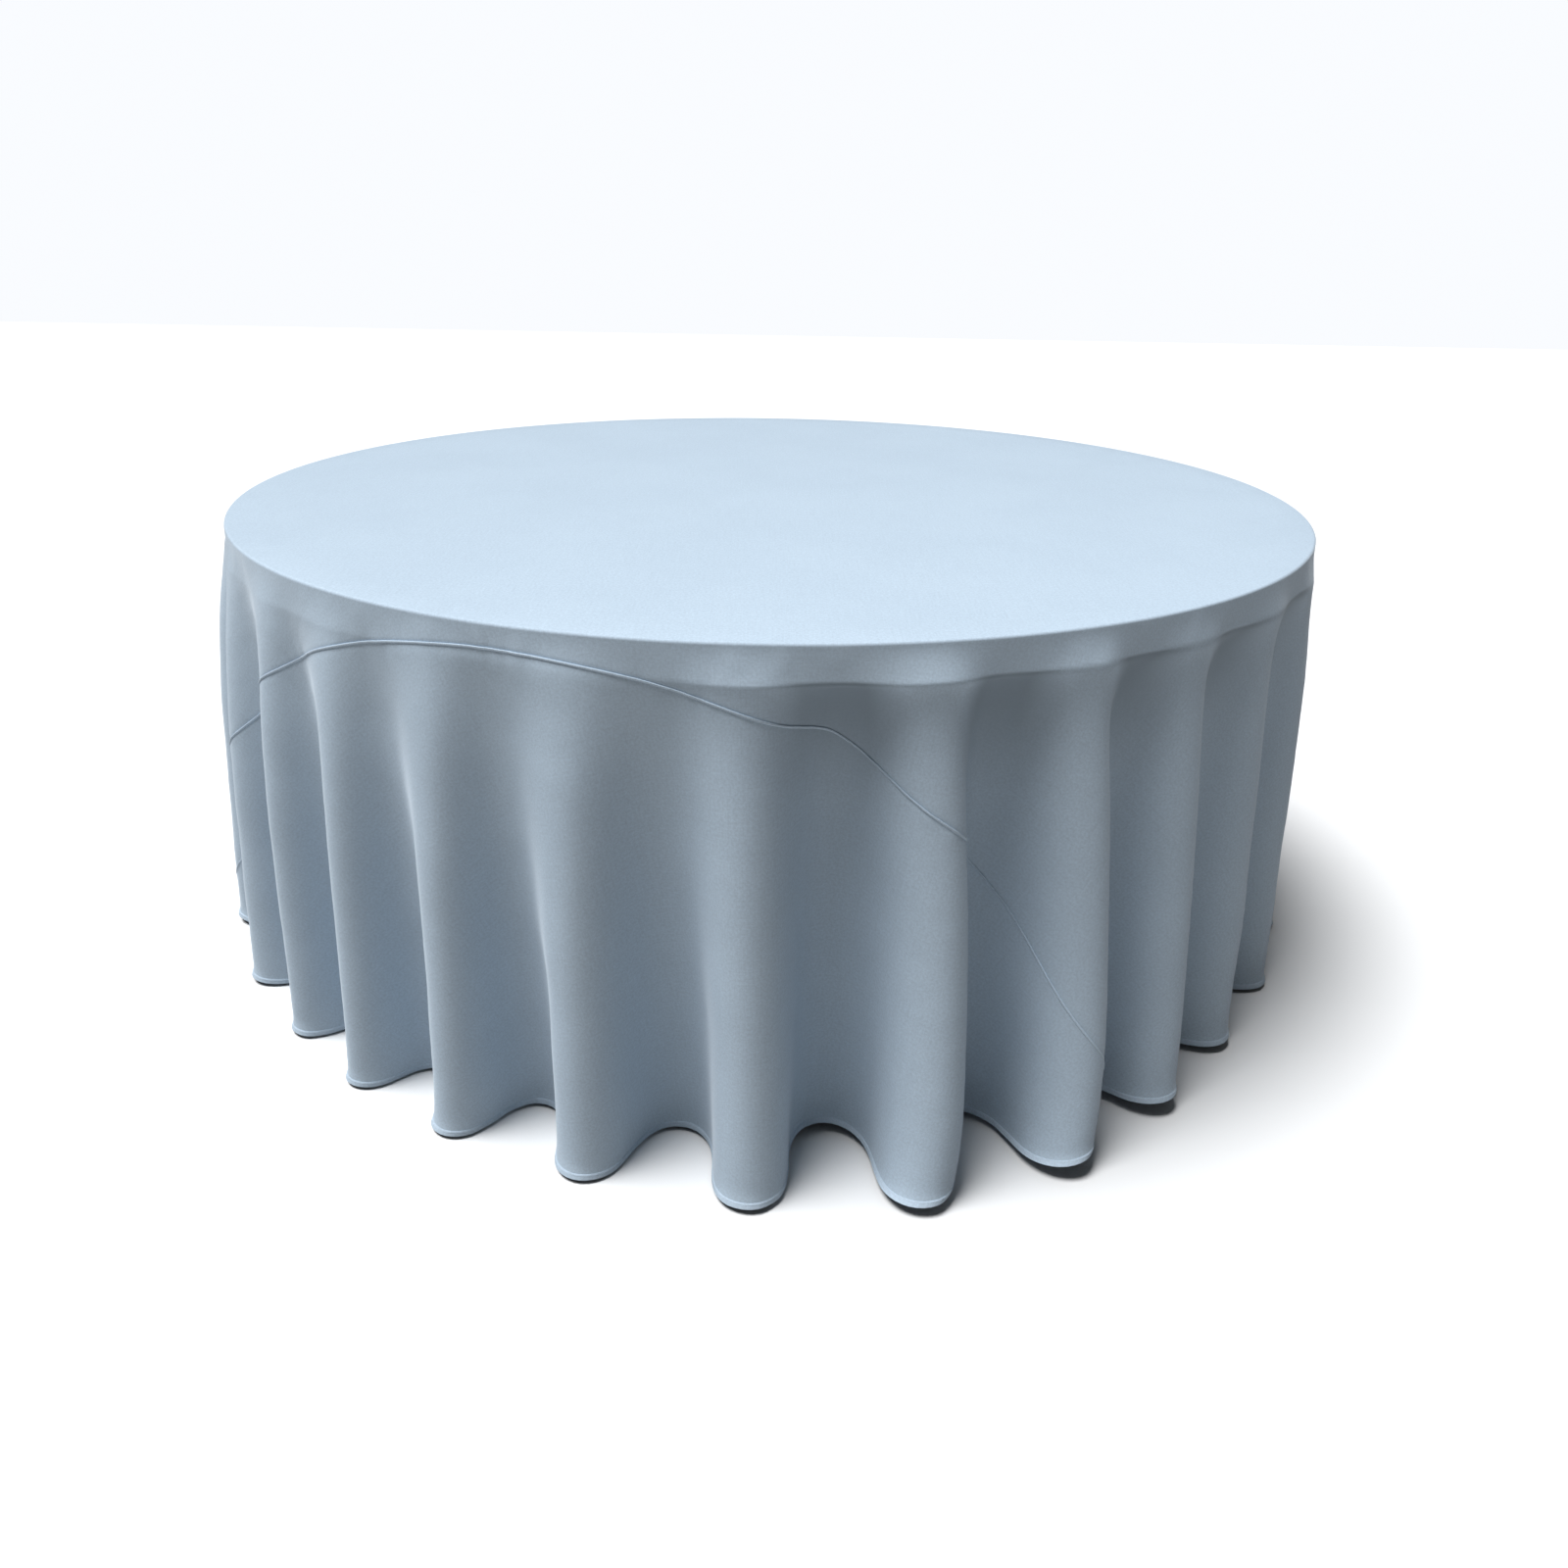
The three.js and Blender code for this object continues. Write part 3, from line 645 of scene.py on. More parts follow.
@dataclass(frozen=True)
class ClothFinish:
    """A plain-weave polyester cloth, with light painted as a paler band where the table's edge lies behind it
    and shade painted in the hollows under the edge.

    Attributes:
        name: the material's name.
        colour: the cloth's colour.
        shade: the colour of its slightly darker patches.
        edge_low: the height of the table edge's lower side.
        pitch: the spacing of the threads.
        band_share: how much light is painted, as a paler band, where the table's edge lies behind the cloth.
        hollow_share: how much shade is painted in the hollows under the edge.
        hollow_reach: how far down the painted shade in the hollows fades out.
    """

    name: str
    colour: Colour
    shade: Colour
    edge_low: float
    pitch: float = 0.6 * MM
    band_share: float = 0.12
    hollow_share: float = 0.9
    hollow_reach: float = 200 * MM

    def build(self) -> Material:
        """Makes the material."""
        material, tree, shader = start_material(self.name)
        flat = tree.flat(CLOTH_MAP)
        place = tree.place()
        weave = tree.use(Effects.weave(), Vector=flat, Pitch=self.pitch)
        patches = tree.use(Effects.mottle(), Vector=flat, Broad=4.0, Fine=70.0)["Value"]
        tint = tree.blend(tree.fade(patches, 0.38, 0.62), self.shade, self.colour)
        threads = tree.fade(weave["Thread"], 0.3, 0.7, 0.955, 1.03)
        tint = tree.blend(1.0, tint, tree.join(threads, threads, threads), "MULTIPLY")
        grain = tree.fade(tree.noise(flat, 280.0, 3.0, 0.75), 0.3, 0.7, 0.92, 1.08)
        tint = tree.blend(1.0, tint, tree.join(grain, grain, grain), "MULTIPLY")
        # Painted shade darkens the hollows under the table's edge; painted light makes the band in front of
        # the edge paler.
        light, dark = self.show_through(tree, place)
        tint = tree.blend(dark, tint, scaled(self.shade, 0.48))
        tint = tree.blend(light, tint, scaled(self.colour, 1.12))
        tree.put(shader, "Base Color", tint)
        tree.put(shader, "Roughness", tree.fade(weave["Thread"], 0.3, 0.7, 0.72, 0.86))
        shader.inputs["Specular IOR Level"].default_value = 0.22
        shader.inputs["Sheen Weight"].default_value = 0.42
        shader.inputs["Sheen Roughness"].default_value = 0.32
        shader.inputs["Sheen Tint"].default_value = (0.86, 0.93, 1.0, 1.0)
        crimp = tree.noise(flat, 420.0, 3.0, 0.6)
        height = tree.plus(tree.times(weave["Height"], 0.55), tree.times(crimp, 0.45))
        rumple = tree.bump(tree.noise(flat, 26.0, 3.0, 0.55), 0.7 * MM, 0.25)
        tree.put(shader, "Normal", tree.bump(height, 0.09 * MM, 0.7, rumple))
        return material

    def show_through(self, tree: Tree, place: Socket) -> tuple[Socket, Socket]:
        """Masks where light and shade are painted: a paler band where the table's edge lies behind the cloth,
        and darker hollows under it.

        Args:
            tree: the material's tree.
            place: where each point is, in metres.

        Returns:
            The mask of the light painted on the band, and that of the shade painted in the hollows.
        """
        _x, _y, z = tree.split(place)
        near = tree.add("ShaderNodeAttribute", attribute_name=VALLEY_SHARE).outputs["Fac"]
        uneven = tree.times(tree.noise(place, 9.0, 2.0), 5 * MM)
        level = tree.plus(z, uneven)
        above = tree.fade(level, self.edge_low, self.edge_low + 5 * MM)
        below_top = tree.fade(z, self.edge_low + 38 * MM, self.edge_low + 46 * MM, 1.0, 0.0)
        # Painted light: a paler band where the table's edge lies behind the cloth.
        light = tree.times(tree.times(near, above), tree.times(below_top, self.band_share))
        # Painted shade: darker hollows under the edge, fading out further down.
        hollow = tree.fade(level, self.edge_low - self.hollow_reach, self.edge_low, 0.0, 1.0)
        under = tree.times(hollow, tree.minus(1.0, above))
        dark = tree.times(tree.times(near, under), self.hollow_share)
        return light, dark


@dataclass(frozen=True)
class ThreadFinish:
    """Spun sewing thread."""

    name: str
    colour: Colour

    def build(self) -> Material:
        """Makes the material."""
        material, tree, shader = start_material(self.name)
        place = tree.place()
        twist = tree.noise(place, 2600.0, 2.0)
        tree.put(shader, "Base Color", tree.blend(twist, scaled(self.colour, 0.8), self.colour))
        tree.put(shader, "Roughness", tree.fade(twist, 0.3, 0.7, 0.55, 0.75))
        shader.inputs["Sheen Weight"].default_value = 0.2
        tree.put(shader, "Normal", tree.bump(twist, 0.12 * MM, 0.6))
        return material


@dataclass(frozen=True)
class WoodFinish:
    """Wood, or a laminate printed with wood.

    Attributes:
        name: the material's name.
        pale: the colour between the grain lines.
        deep: the colour of the grain lines.
        figure: how many growth rings cross one metre.
        roughness: the mean roughness.
        coat: how much clear coat lies over it.
        relief: how deep the grain is.
    """

    name: str
    pale: Colour
    deep: Colour
    figure: float
    roughness: float
    coat: float = 0.0
    relief: float = 0.2 * MM

    def build(self) -> Material:
        """Makes the material."""
        material, tree, shader = start_material(self.name)
        flat = tree.flat(SURFACE_MAP)
        place = tree.place()
        wood = tree.use(Effects.wood(), Vector=flat, Figure=self.figure)
        patches = tree.use(Effects.mottle(), Vector=place, Broad=2.5, Fine=24.0)["Value"]
        tint = tree.blend(tree.fade(wood["Grain"], 0.28, 0.74), self.pale, self.deep)
        tint = tree.blend(tree.fade(patches, 0.35, 0.7, 0.0, 0.28), tint, scaled(self.deep, 0.7))
        tint = tree.blend(tree.times(wood["Pores"], 0.6), tint, scaled(self.deep, 0.42))
        tree.put(shader, "Base Color", tint)
        rough = tree.fade(wood["Grain"], 0.2, 0.8, self.roughness - 0.06, self.roughness + 0.1)
        tree.put(shader, "Roughness", rough)
        shader.inputs["Coat Weight"].default_value = self.coat
        shader.inputs["Coat Roughness"].default_value = 0.22
        height = tree.minus(wood["Grain"], tree.times(wood["Pores"], 0.8))
        tree.put(shader, "Normal", tree.bump(height, self.relief, 0.6))
        return material


@dataclass(frozen=True)
class VinylFinish:
    """Moulded vinyl edging with a fine leather-like grain and scuffs."""

    name: str
    colour: Colour
    scuff: Colour

    def build(self) -> Material:
        """Makes the material."""
        material, tree, shader = start_material(self.name)
        place = tree.place()
        patches = tree.use(Effects.mottle(), Vector=place, Broad=5.0, Fine=90.0)["Value"]
        worn = tree.use(Effects.wear(), Vector=place, Reach=0.06, Patch=40.0)["Mask"]
        tint = tree.blend(tree.fade(patches, 0.4, 0.65, 0.0, 0.35), self.colour, self.scuff)
        tree.put(shader, "Base Color", tree.blend(worn, tint, self.scuff))
        tree.put(shader, "Roughness", tree.fade(patches, 0.3, 0.7, 0.42, 0.6))
        grain = tree.add("ShaderNodeTexVoronoi", feature="SMOOTH_F1")
        tree.put(grain, "Vector", place)
        tree.put(grain, "Scale", 700.0)
        tree.put(shader, "Normal", tree.bump(grain.outputs["Distance"], 0.12 * MM, 0.5))
        return material


@dataclass(frozen=True)
class PaintedSteelFinish:
    """Hammered powder coat on steel, rubbed through at its edges."""

    name: str
    colour: Colour
    fleck: Colour
    steel: Colour = (0.42, 0.42, 0.43)

    def build(self) -> Material:
        """Makes the material."""
        material, tree, shader = start_material(self.name)
        place = tree.place()
        dimples = tree.add("ShaderNodeTexVoronoi", feature="SMOOTH_F1")
        tree.put(dimples, "Vector", place)
        tree.put(dimples, "Scale", 330.0)
        worn = tree.use(Effects.wear(), Vector=place, Reach=0.05, Patch=70.0)["Mask"]
        dust = tree.use(Effects.dust(), Vector=place, Reach=0.22)["Mask"]
        tint = tree.blend(tree.fade(dimples.outputs["Distance"], 0.2, 0.75), self.fleck, self.colour)
        tint = tree.blend(tree.times(dust, 0.3), tint, (0.3, 0.28, 0.25))
        tree.put(shader, "Base Color", tree.blend(worn, tint, self.steel))
        tree.put(shader, "Metallic", tree.times(worn, 0.9))
        tree.put(shader, "Roughness", tree.fade(dust, 0.0, 0.6, 0.42, 0.62))
        shader.inputs["Coat Weight"].default_value = 0.15
        shader.inputs["Coat Roughness"].default_value = 0.2
        tree.put(shader, "Normal", tree.bump(dimples.outputs["Distance"], 0.3 * MM, 0.55))
        return material


@dataclass(frozen=True)
class ZincFinish:
    """Bright zinc plate, a little cloudy, with fine drawing marks."""

    name: str
    colour: Colour
    stain: Colour

    def build(self) -> Material:
        """Makes the material."""
        material, tree, shader = start_material(self.name)
        place = tree.place()
        cloud = tree.use(Effects.mottle(), Vector=place, Broad=60.0, Fine=420.0)["Value"]
        x, y, z = tree.split(place)
        drawn = tree.join(tree.times(x, 60.0), y, tree.times(z, 40.0))
        marks = tree.noise(drawn, 60.0, 3.0)
        tree.put(shader, "Base Color", tree.blend(tree.fade(cloud, 0.35, 0.7), self.colour, self.stain))
        tree.put(shader, "Roughness", tree.fade(cloud, 0.3, 0.7, 0.26, 0.48))
        shader.inputs["Metallic"].default_value = 1.0
        tree.put(shader, "Normal", tree.bump(marks, 0.05 * MM, 0.5))
        return material


@dataclass(frozen=True)
class RubberFinish:
    """Moulded rubber, greyed with floor dust."""

    name: str
    colour: Colour
    dusty: Colour

    def build(self) -> Material:
        """Makes the material."""
        material, tree, shader = start_material(self.name)
        place = tree.place()
        grain = tree.noise(place, 900.0, 3.0, 0.6)
        dust = tree.use(Effects.dust(), Vector=place, Reach=0.05)["Mask"]
        tree.put(shader, "Base Color", tree.blend(tree.times(dust, 0.55), self.colour, self.dusty))
        tree.put(shader, "Roughness", tree.fade(grain, 0.3, 0.7, 0.72, 0.92))
        shader.inputs["Specular IOR Level"].default_value = 0.3
        tree.put(shader, "Normal", tree.bump(grain, 0.2 * MM, 0.5))
        return material


# ------------------------------------------------------------------ the cloth's drape


@dataclass(frozen=True)
class Fold:
    """One fold of the skirt, by its crest.

    Attributes:
        rim: the crest's direction under the table's edge.
        hem: the crest's direction at the hem.
        start: how quickly the fold opens below the edge, in metres; a small value opens at once.
        lean: how far the upper part of the fold leans to one side, from -1 to 1.
        tuck: how deep the valley before it goes, as a share of the usual depth.
        slip: how many degrees of cloth have slid past the crest at the hem.
        hollow: how soon the valley before it falls back under the table's edge, from 0 to 1, and how strongly
            shade and light are painted in that valley.
    """

    rim: float
    hem: float
    start: float = 0.09
    lean: float = 0.0
    tuck: float = 1.0
    slip: float = 0.0
    hollow: float = 0.0


FOLDS = (
    Fold(-74.5, -76.0, 0.1, 0.1, 1.0, 0.0, 0.3),
    Fold(-60.5, -62.0, 0.12, 0.0, 1.0, 0.0, 0.5),
    Fold(-49.8, -51.0, 0.13, 0.1, 1.05),
    Fold(-39.3, -40.5, 0.14, 0.3, 1.1, 0.0, 0.1),
    Fold(-28.2, -28.7, 0.14, 0.4, 1.2, 0.0, 0.1),
    Fold(-16.2, -16.0, 0.14, 0.2, 1.35, 0.0, 0.1),
    Fold(-2.4, -0.4, 0.11, 0.2, 1.5, 0.5, 0.2),
    Fold(10.9, 12.0, 0.08, 0.65, 1.55, 3.0, 1.0),
    Fold(23.9, 25.3, 0.08, 0.75, 1.45, 7.5, 1.0),
    Fold(35.6, 37.0, 0.08, 0.4, 1.0, 9.0, 1.0),
    Fold(48.4, 49.8, 0.08, 0.3, 1.0, 7.0, 1.0),
    Fold(61.6, 63.3, 0.08, 0.2, 1.0, 4.5, 0.9),
    Fold(75.4, 76.5, 0.09, 0.1, 1.0, 2.5, 0.6),
    Fold(89.4, 90.0, 0.08, 0.1, 1.0, 1.0, 0.6),
    Fold(102.6, 103.0, 0.15, 0.0, 0.95, 0.0, 0.2),
    Fold(115.2, 115.5, 0.1, -0.2, 1.0, 0.0, 0.5),
    Fold(128.7, 128.5, 0.07, 0.1, 1.05, 0.0, 0.9),
    Fold(141.6, 141.0, 0.11, 0.0, 1.0, 0.0, 0.5),
    Fold(154.0, 154.5, 0.18, 0.2, 0.9),
    Fold(166.4, 167.0, 0.2, 0.0, 0.95),
    Fold(179.4, 180.0, 0.14, -0.1, 1.0, 0.0, 0.2),
    Fold(192.7, 193.0, 0.08, 0.1, 1.05, 0.0, 0.9),
    Fold(206.0, 205.5, 0.07, -0.1, 1.0, 0.0, 0.8),
    Fold(218.2, 218.5, 0.11, 0.0, 1.0, 0.0, 0.4),
    Fold(231.0, 231.5, 0.08, 0.2, 1.0, 0.0, 0.8),
    Fold(244.6, 244.0, 0.12, 0.0, 0.95, 0.0, 0.3),
    Fold(257.2, 257.0, 0.08, -0.1, 1.0, 0.0, 0.8),
    Fold(270.6, 270.0, 0.11, 0.0, 1.0, 0.0, 0.5),
)


@dataclass
class Drape:
    """Where each point of the flat round cloth goes when it hangs over the round table.

    A point on the cloth has a direction from the cloth's middle and a distance beyond the start
    of the roll over the table's edge. Each fold's section is a curve whose heading swings like a
    sine along its own length, so that the cloth's length round the table is nearly kept.

    Attributes:
        edge_height: how far down the table's edge goes, where the valleys start to fall back.
        valley_tuck: how far inside the edge a usual valley goes at the hem.
        slow_tuck: the ease of a valley that falls back slowly.
        quick_tuck: the ease of a valley that falls back at once.
        largest_swing: the largest heading a fold's section may reach, in radians.
        lean_reach: how far a full lean moves a crest, as a share of the fold.
        directions: each column's direction on the flat cloth, in degrees.
        depths: the depths below the roll at which the skirt is worked out.
        radius: each point's distance from the table's axis, by depth and column.
        azimuth: each point's direction round the table, in radians.
        height: each point's height.
    """

    table_radius: float
    table_top: float
    floor_gap: float = 2.5 * MM
    edge_radius: float = 3 * MM
    cloth_clearance: float = 1.0 * MM
    edge_height: float = 47 * MM
    valley_tuck: float = 54 * MM
    slow_tuck: float = 6.0
    quick_tuck: float = 0.14
    hem_curl: float = 4 * MM
    curl_height: float = 24 * MM
    columns_per_fold: int = 36
    levels: int = 160
    largest_swing: float = 1.75
    lean_reach: float = 0.2
    roll_steps: int = 6
    directions: np.ndarray = field(init=False)
    depths: np.ndarray = field(init=False)
    radius: np.ndarray = field(init=False)
    azimuth: np.ndarray = field(init=False)
    height: np.ndarray = field(init=False)

    def __post_init__(self) -> None:
        """Works out the sizes that follow from the table, then the whole skirt."""
        self.flat_radius = self.table_radius - self.edge_radius
        self.roll_radius = self.edge_radius + self.cloth_clearance
        self.roll_length = self.roll_radius * math.pi / 2
        self.roll_height = self.table_top - self.edge_radius
        self.skirt_length = self.roll_height - self.floor_gap
        self.edge = self.roll_length + self.skirt_length
        self.cloth_radius = self.flat_radius + self.edge
        rim = self._valleys([fold.rim for fold in FOLDS])
        share = np.arange(self.columns_per_fold) / self.columns_per_fold
        self.directions = (rim[:-1, None] + np.diff(rim)[:, None] * share[None, :]).ravel()
        self.fold_places = np.radians(rim[:-1])
        self._hang()
        self._drop()

    def _valleys(self, crests: list[float]) -> np.ndarray:
        """Returns the valley direction before each crest, and the one after the last."""
        wrapped = [crests[-1] - FULL_TURN, *crests, crests[0] + FULL_TURN]
        return np.array([(a + b) / 2 for a, b in zip(wrapped[:-1], wrapped[1:])])

    def _section(self, swing: np.ndarray, length: np.ndarray, start: np.ndarray, end: np.ndarray) -> tuple:
        """Follows each fold's section from valley to valley.

        Args:
            swing: each fold's largest heading, in radians, by depth and fold.
            length: the cloth's length in the fold.
            start: the radius of the valley before it.
            end: the radius of the valley after it.

        Returns:
            The azimuths from the first valley, in radians, and the radii, by depth, fold and step.
        """
        count = self.columns_per_fold
        along = ((np.arange(count) + 0.5) / count)[None, :]
        upper = 1 - self.depths[:, None, None] / self.skirt_length
        crest = 0.5 + self.lean_reach * upper**0.6 * np.array([fold.lean for fold in FOLDS])[None, :, None]
        rising = np.sin(math.pi * np.minimum(along / crest, 1)) / crest
        falling = np.sin(math.pi * np.maximum((along - crest) / (1 - crest), 0)) / (1 - crest)
        heading = swing[..., None] * 0.5 * (rising - falling)
        step = (length / count)[..., None]
        outward = np.cumsum(step * np.sin(heading), axis=-1)
        outward = np.concatenate([np.zeros_like(outward[..., :1]), outward], axis=-1)
        share = np.arange(count + 1) / count
        drift = (end - start - outward[..., -1])[..., None] * share
        radii = start[..., None] + outward + drift
        mid_radii = (radii[..., 1:] + radii[..., :-1]) / 2
        azimuths = np.cumsum(step * np.cos(heading) / mid_radii, axis=-1)
        azimuths = np.concatenate([np.zeros_like(azimuths[..., :1]), azimuths], axis=-1)
        return azimuths, radii

    def _hang(self) -> None:
        """Finds each column's radius and azimuth at every depth below the edge roll."""
        self.depths = self.skirt_length * np.linspace(0.0, 1.0, self.levels) ** 1.25
        depth = self.depths[:, None]
        travel = (depth / self.skirt_length) ** 0.8
        rim = np.radians(self._valleys([fold.rim for fold in FOLDS]))[None, :]
        hem = np.radians(self._valleys([fold.hem for fold in FOLDS]))[None, :]
        slid = np.radians(self._valleys([fold.rim + fold.slip for fold in FOLDS]))[None, :]
        valleys = rim * (1 - travel) + hem * travel
        cloth_lines = rim * (1 - travel) + slid * travel
        pitch = np.diff(valleys, axis=1)
        below = np.clip((depth - self.edge_height) / (self.skirt_length - self.edge_height), 0, 1)
        tuck = np.array([fold.tuck for fold in FOLDS])[None, :]
        wall = self.flat_radius + self.roll_radius
        hollow = np.array([fold.hollow for fold in FOLDS])[None, :]
        ease = self.slow_tuck * (self.quick_tuck / self.slow_tuck) ** hollow
        tucked = below * (1 + ease) / (below + ease)
        start_radius = wall - self.valley_tuck * tuck * tucked
        end_radius = np.roll(start_radius, -1, axis=1)
        cloth_pitch = np.diff(cloth_lines, axis=1)
        length = (self.flat_radius + self.roll_length + depth) * cloth_pitch
        low = np.zeros_like(length)
        high = np.full_like(length, self.largest_swing)
        for _ in range(24):
            swing = (low + high) / 2
            azimuths, _radii = self._section(swing, length, start_radius, end_radius)
            wide = azimuths[..., -1] > pitch
            low = np.where(wide, swing, low)
            high = np.where(wide, high, swing)
        opened = np.array([fold.start for fold in FOLDS])[None, :]
        swing = swing * (1 - np.exp(-depth / opened))
        azimuths, radii = self._section(swing, length, start_radius, end_radius)
        azimuths = valleys[:, :-1, None] + azimuths * (pitch / azimuths[..., -1])[..., None]
        share = np.arange(self.columns_per_fold) / self.columns_per_fold
        cloth = cloth_lines[:, :-1, None] + cloth_pitch[..., None] * share
        flat_columns = len(FOLDS) * self.columns_per_fold
        swung = (azimuths[..., :-1] - cloth).reshape(self.levels, flat_columns)
        radii = radii[..., :-1].reshape(self.levels, flat_columns)
        cloth = cloth.reshape(self.levels, flat_columns)
        wanted = np.radians(self.directions)
        turn = 2 * math.pi
        moved = [np.interp(wanted, c, s, period=turn) for c, s in zip(cloth, swung)]
        self.azimuth = wanted + np.array(moved)
        self.radius = np.array([np.interp(wanted, c, r, period=turn) for c, r in zip(cloth, radii)])
        self._smooth_round()
        curl = np.clip((depth - self.skirt_length) / self.curl_height + 1, 0, 1) ** 2
        self.radius = self.radius + self.hem_curl * curl

    def _smooth_round(self, passes: int = 3) -> None:
        """Softens the change of curvature where one fold meets the next."""
        turn = 2 * math.pi
        for _ in range(passes):
            before = np.roll(self.azimuth, 1, axis=1)
            after = np.roll(self.azimuth, -1, axis=1)
            before[:, 0] -= turn
            after[:, -1] += turn
            self.azimuth = (before + 2 * self.azimuth + after) / 4
            rolled = np.roll(self.radius, 1, axis=1) + np.roll(self.radius, -1, axis=1)
            self.radius = (rolled + 2 * self.radius) / 4

    def _drop(self) -> None:
        """Gives each column the height that keeps its own length from the edge to the hem."""
        along = np.diff(self.depths)[:, None]
        out = np.diff(self.radius, axis=0)
        round_step = np.diff(self.azimuth, axis=0) * (self.radius[1:] + self.radius[:-1]) / 2
        fall = np.sqrt(np.maximum(along**2 - out**2 - round_step**2, (0.3 * along) ** 2))
        fallen = np.concatenate([np.zeros((1, fall.shape[1])), np.cumsum(fall, axis=0)], axis=0)
        self.height = self.roll_height - fallen

    def column(self, column: int, distances: np.ndarray) -> np.ndarray:
        """Places points of one column.

        Args:
            column: the column's number.
            distances: how far each point is beyond the start of the roll, along the cloth.

        Returns:
            The points, one row each.
        """
        direction = math.radians(self.directions[column])
        hung = np.clip(distances - self.roll_length, 0, self.skirt_length)
        radius = np.interp(hung, self.depths, self.radius[:, column])
        azimuth = np.interp(hung, self.depths, self.azimuth[:, column])
        height = np.interp(hung, self.depths, self.height[:, column])
        angle = np.clip(distances, 0, self.roll_length) / self.roll_radius
        on_roll = distances < self.roll_length
        roll_out = self.flat_radius + self.roll_radius * np.sin(angle) + np.minimum(distances, 0)
        radius = np.where(on_roll, roll_out, radius)
        azimuth = np.where(on_roll, direction, azimuth)
        height = np.where(on_roll, self.roll_height + self.roll_radius * np.cos(angle), height)
        return np.stack([radius * np.sin(azimuth), -radius * np.cos(azimuth), height], axis=1)

    def valley_share(self, columns: np.ndarray, distances: np.ndarray) -> np.ndarray:
        """Returns how deep in a quick valley each point lies, from 0 to 1, which places the cloth's painted
        shade and painted light.

        Args:
            columns: the columns' numbers.
            distances: the distances beyond the start of the roll, by column and row.

        Returns:
            The shares, by column and row.
        """
        hollows = [fold.hollow for fold in FOLDS]
        close = []
        for column, distance in zip(columns, distances):
            direction = math.radians(self.directions[column])
            quick = np.interp(direction, self.fold_places, hollows, period=2 * math.pi)
            hung = np.clip(distance - self.roll_length, 0, self.skirt_length)
            radius = np.interp(hung, self.depths, self.radius[:, column])
            out = np.interp(hung, self.depths, self.radius.max(axis=1))
            into = np.interp(hung, self.depths, self.radius.min(axis=1))
            level = (radius - into) / np.maximum(out - into, 2 * MM)
            close.append(quick * np.clip(1.4 - 2.1 * level, 0, 1))
        return np.array(close)

    def flat(self, columns: np.ndarray, distances: np.ndarray) -> np.ndarray:
        """Returns where points lie on the flat cloth, in metres from its middle, by column and row."""
        direction = np.radians(self.directions[columns])[:, None]
        reach = self.flat_radius + distances
        return np.stack([reach * np.sin(direction), -reach * np.cos(direction)], axis=-1)


@dataclass(frozen=True)
class Wave:
    """One family of small waves that the hanging cloth keeps.

    Attributes:
        count: how many waves it sums.
        shortest: the shortest wavelength, in metres.
        longest: the longest wavelength.
        rise: how high they stand.
    """

    count: int
    shortest: float
    longest: float
    rise: float


@dataclass
class Rumples:
    """The cloth's small unevenness: slow waves, fine creases, and puckers by its stitching."""

    drape: Drape
    seam_distance: float
    seam_centres: tuple[float, float]
    slow: Wave = Wave(26, 0.12, 0.36, 0.6 * MM)
    fine: Wave = Wave(40, 0.022, 0.07, 0.12 * MM)
    top_share: float = 0.10
    pucker_rise: float = 0.45 * MM
    pucker_pitch: float = 34 * MM
    pucker_reach: float = 16 * MM
    rim_rise: float = 0.8 * MM
    rim_pitch: float = 78 * MM
    rim_depth: float = 26 * MM
    rim_reach: float = 17 * MM
    seed: int = 11

    def __post_init__(self) -> None:
        """Draws the waves' directions and starts, the same on every run."""
        chance = np.random.default_rng(self.seed)
        self.waves = []
        for family in (self.slow, self.fine):
            way = chance.uniform(0, 2 * math.pi, family.count)
            size = chance.uniform(family.shortest, family.longest, family.count)
            start = chance.uniform(0, 2 * math.pi, family.count)
            self.waves.append((family, way, 2 * math.pi / size, start))

    def lift(self, flat: np.ndarray, distances: np.ndarray) -> np.ndarray:
        """Returns how far each point stands off the smooth drape.

        Args:
            flat: the points on the flat cloth, by column and row.
            distances: their distances beyond the start of the roll.

        Returns:
            The lift, in metres, by column and row.
        """
        x, y = flat[..., 0], flat[..., 1]
        total = np.zeros(x.shape)
        for family, way, turns, start in self.waves:
            summed = np.zeros(x.shape)
            for angle, rate, begin in zip(way, turns, start):
                summed += np.sin((x * math.cos(angle) + y * math.sin(angle)) * rate + begin)
            total += family.rise * summed / math.sqrt(family.count)
        hung = np.clip((distances - self.drape.roll_length) / (60 * MM), 0, 1)
        total *= self.top_share + (1 - self.top_share) * hung
        for centre in self.seam_centres:
            angle = math.radians(centre)
            across = x * math.sin(angle) - y * math.cos(angle)
            along = x * math.cos(angle) + y * math.sin(angle)
            close = np.exp(-(((across - self.seam_distance) / self.pucker_reach) ** 2))
            total += self.pucker_rise * close * self.gathers(along, self.pucker_pitch)
        around = self.drape.cloth_radius * np.arctan2(x, -y)
        at_hem = np.exp(-(((distances - self.drape.edge) / (1.4 * self.pucker_reach)) ** 2))
        total += self.pucker_rise * at_hem * self.gathers(around, 1.7 * self.pucker_pitch)
        at_rim = np.exp(-(((distances - self.rim_depth) / self.rim_reach) ** 2)) * (distances > 0)
        around_rim = self.drape.table_radius * np.arctan2(x, -y)
        total += self.rim_rise * at_rim * np.clip(self.gathers(around_rim, self.rim_pitch), -0.15, 1)
        return total

    def gathers(self, along: np.ndarray, pitch: float) -> np.ndarray:
        """Returns uneven little waves along a line of stitching."""
        turn = 2 * math.pi / pitch
        swell = 0.55 + 0.45 * np.sin(along * turn / 6.3 + 1.1)
        return swell * np.sin(along * turn + 1.7 * np.sin(along * turn / 4.1))


# ------------------------------------------------------------------ the tablecloth


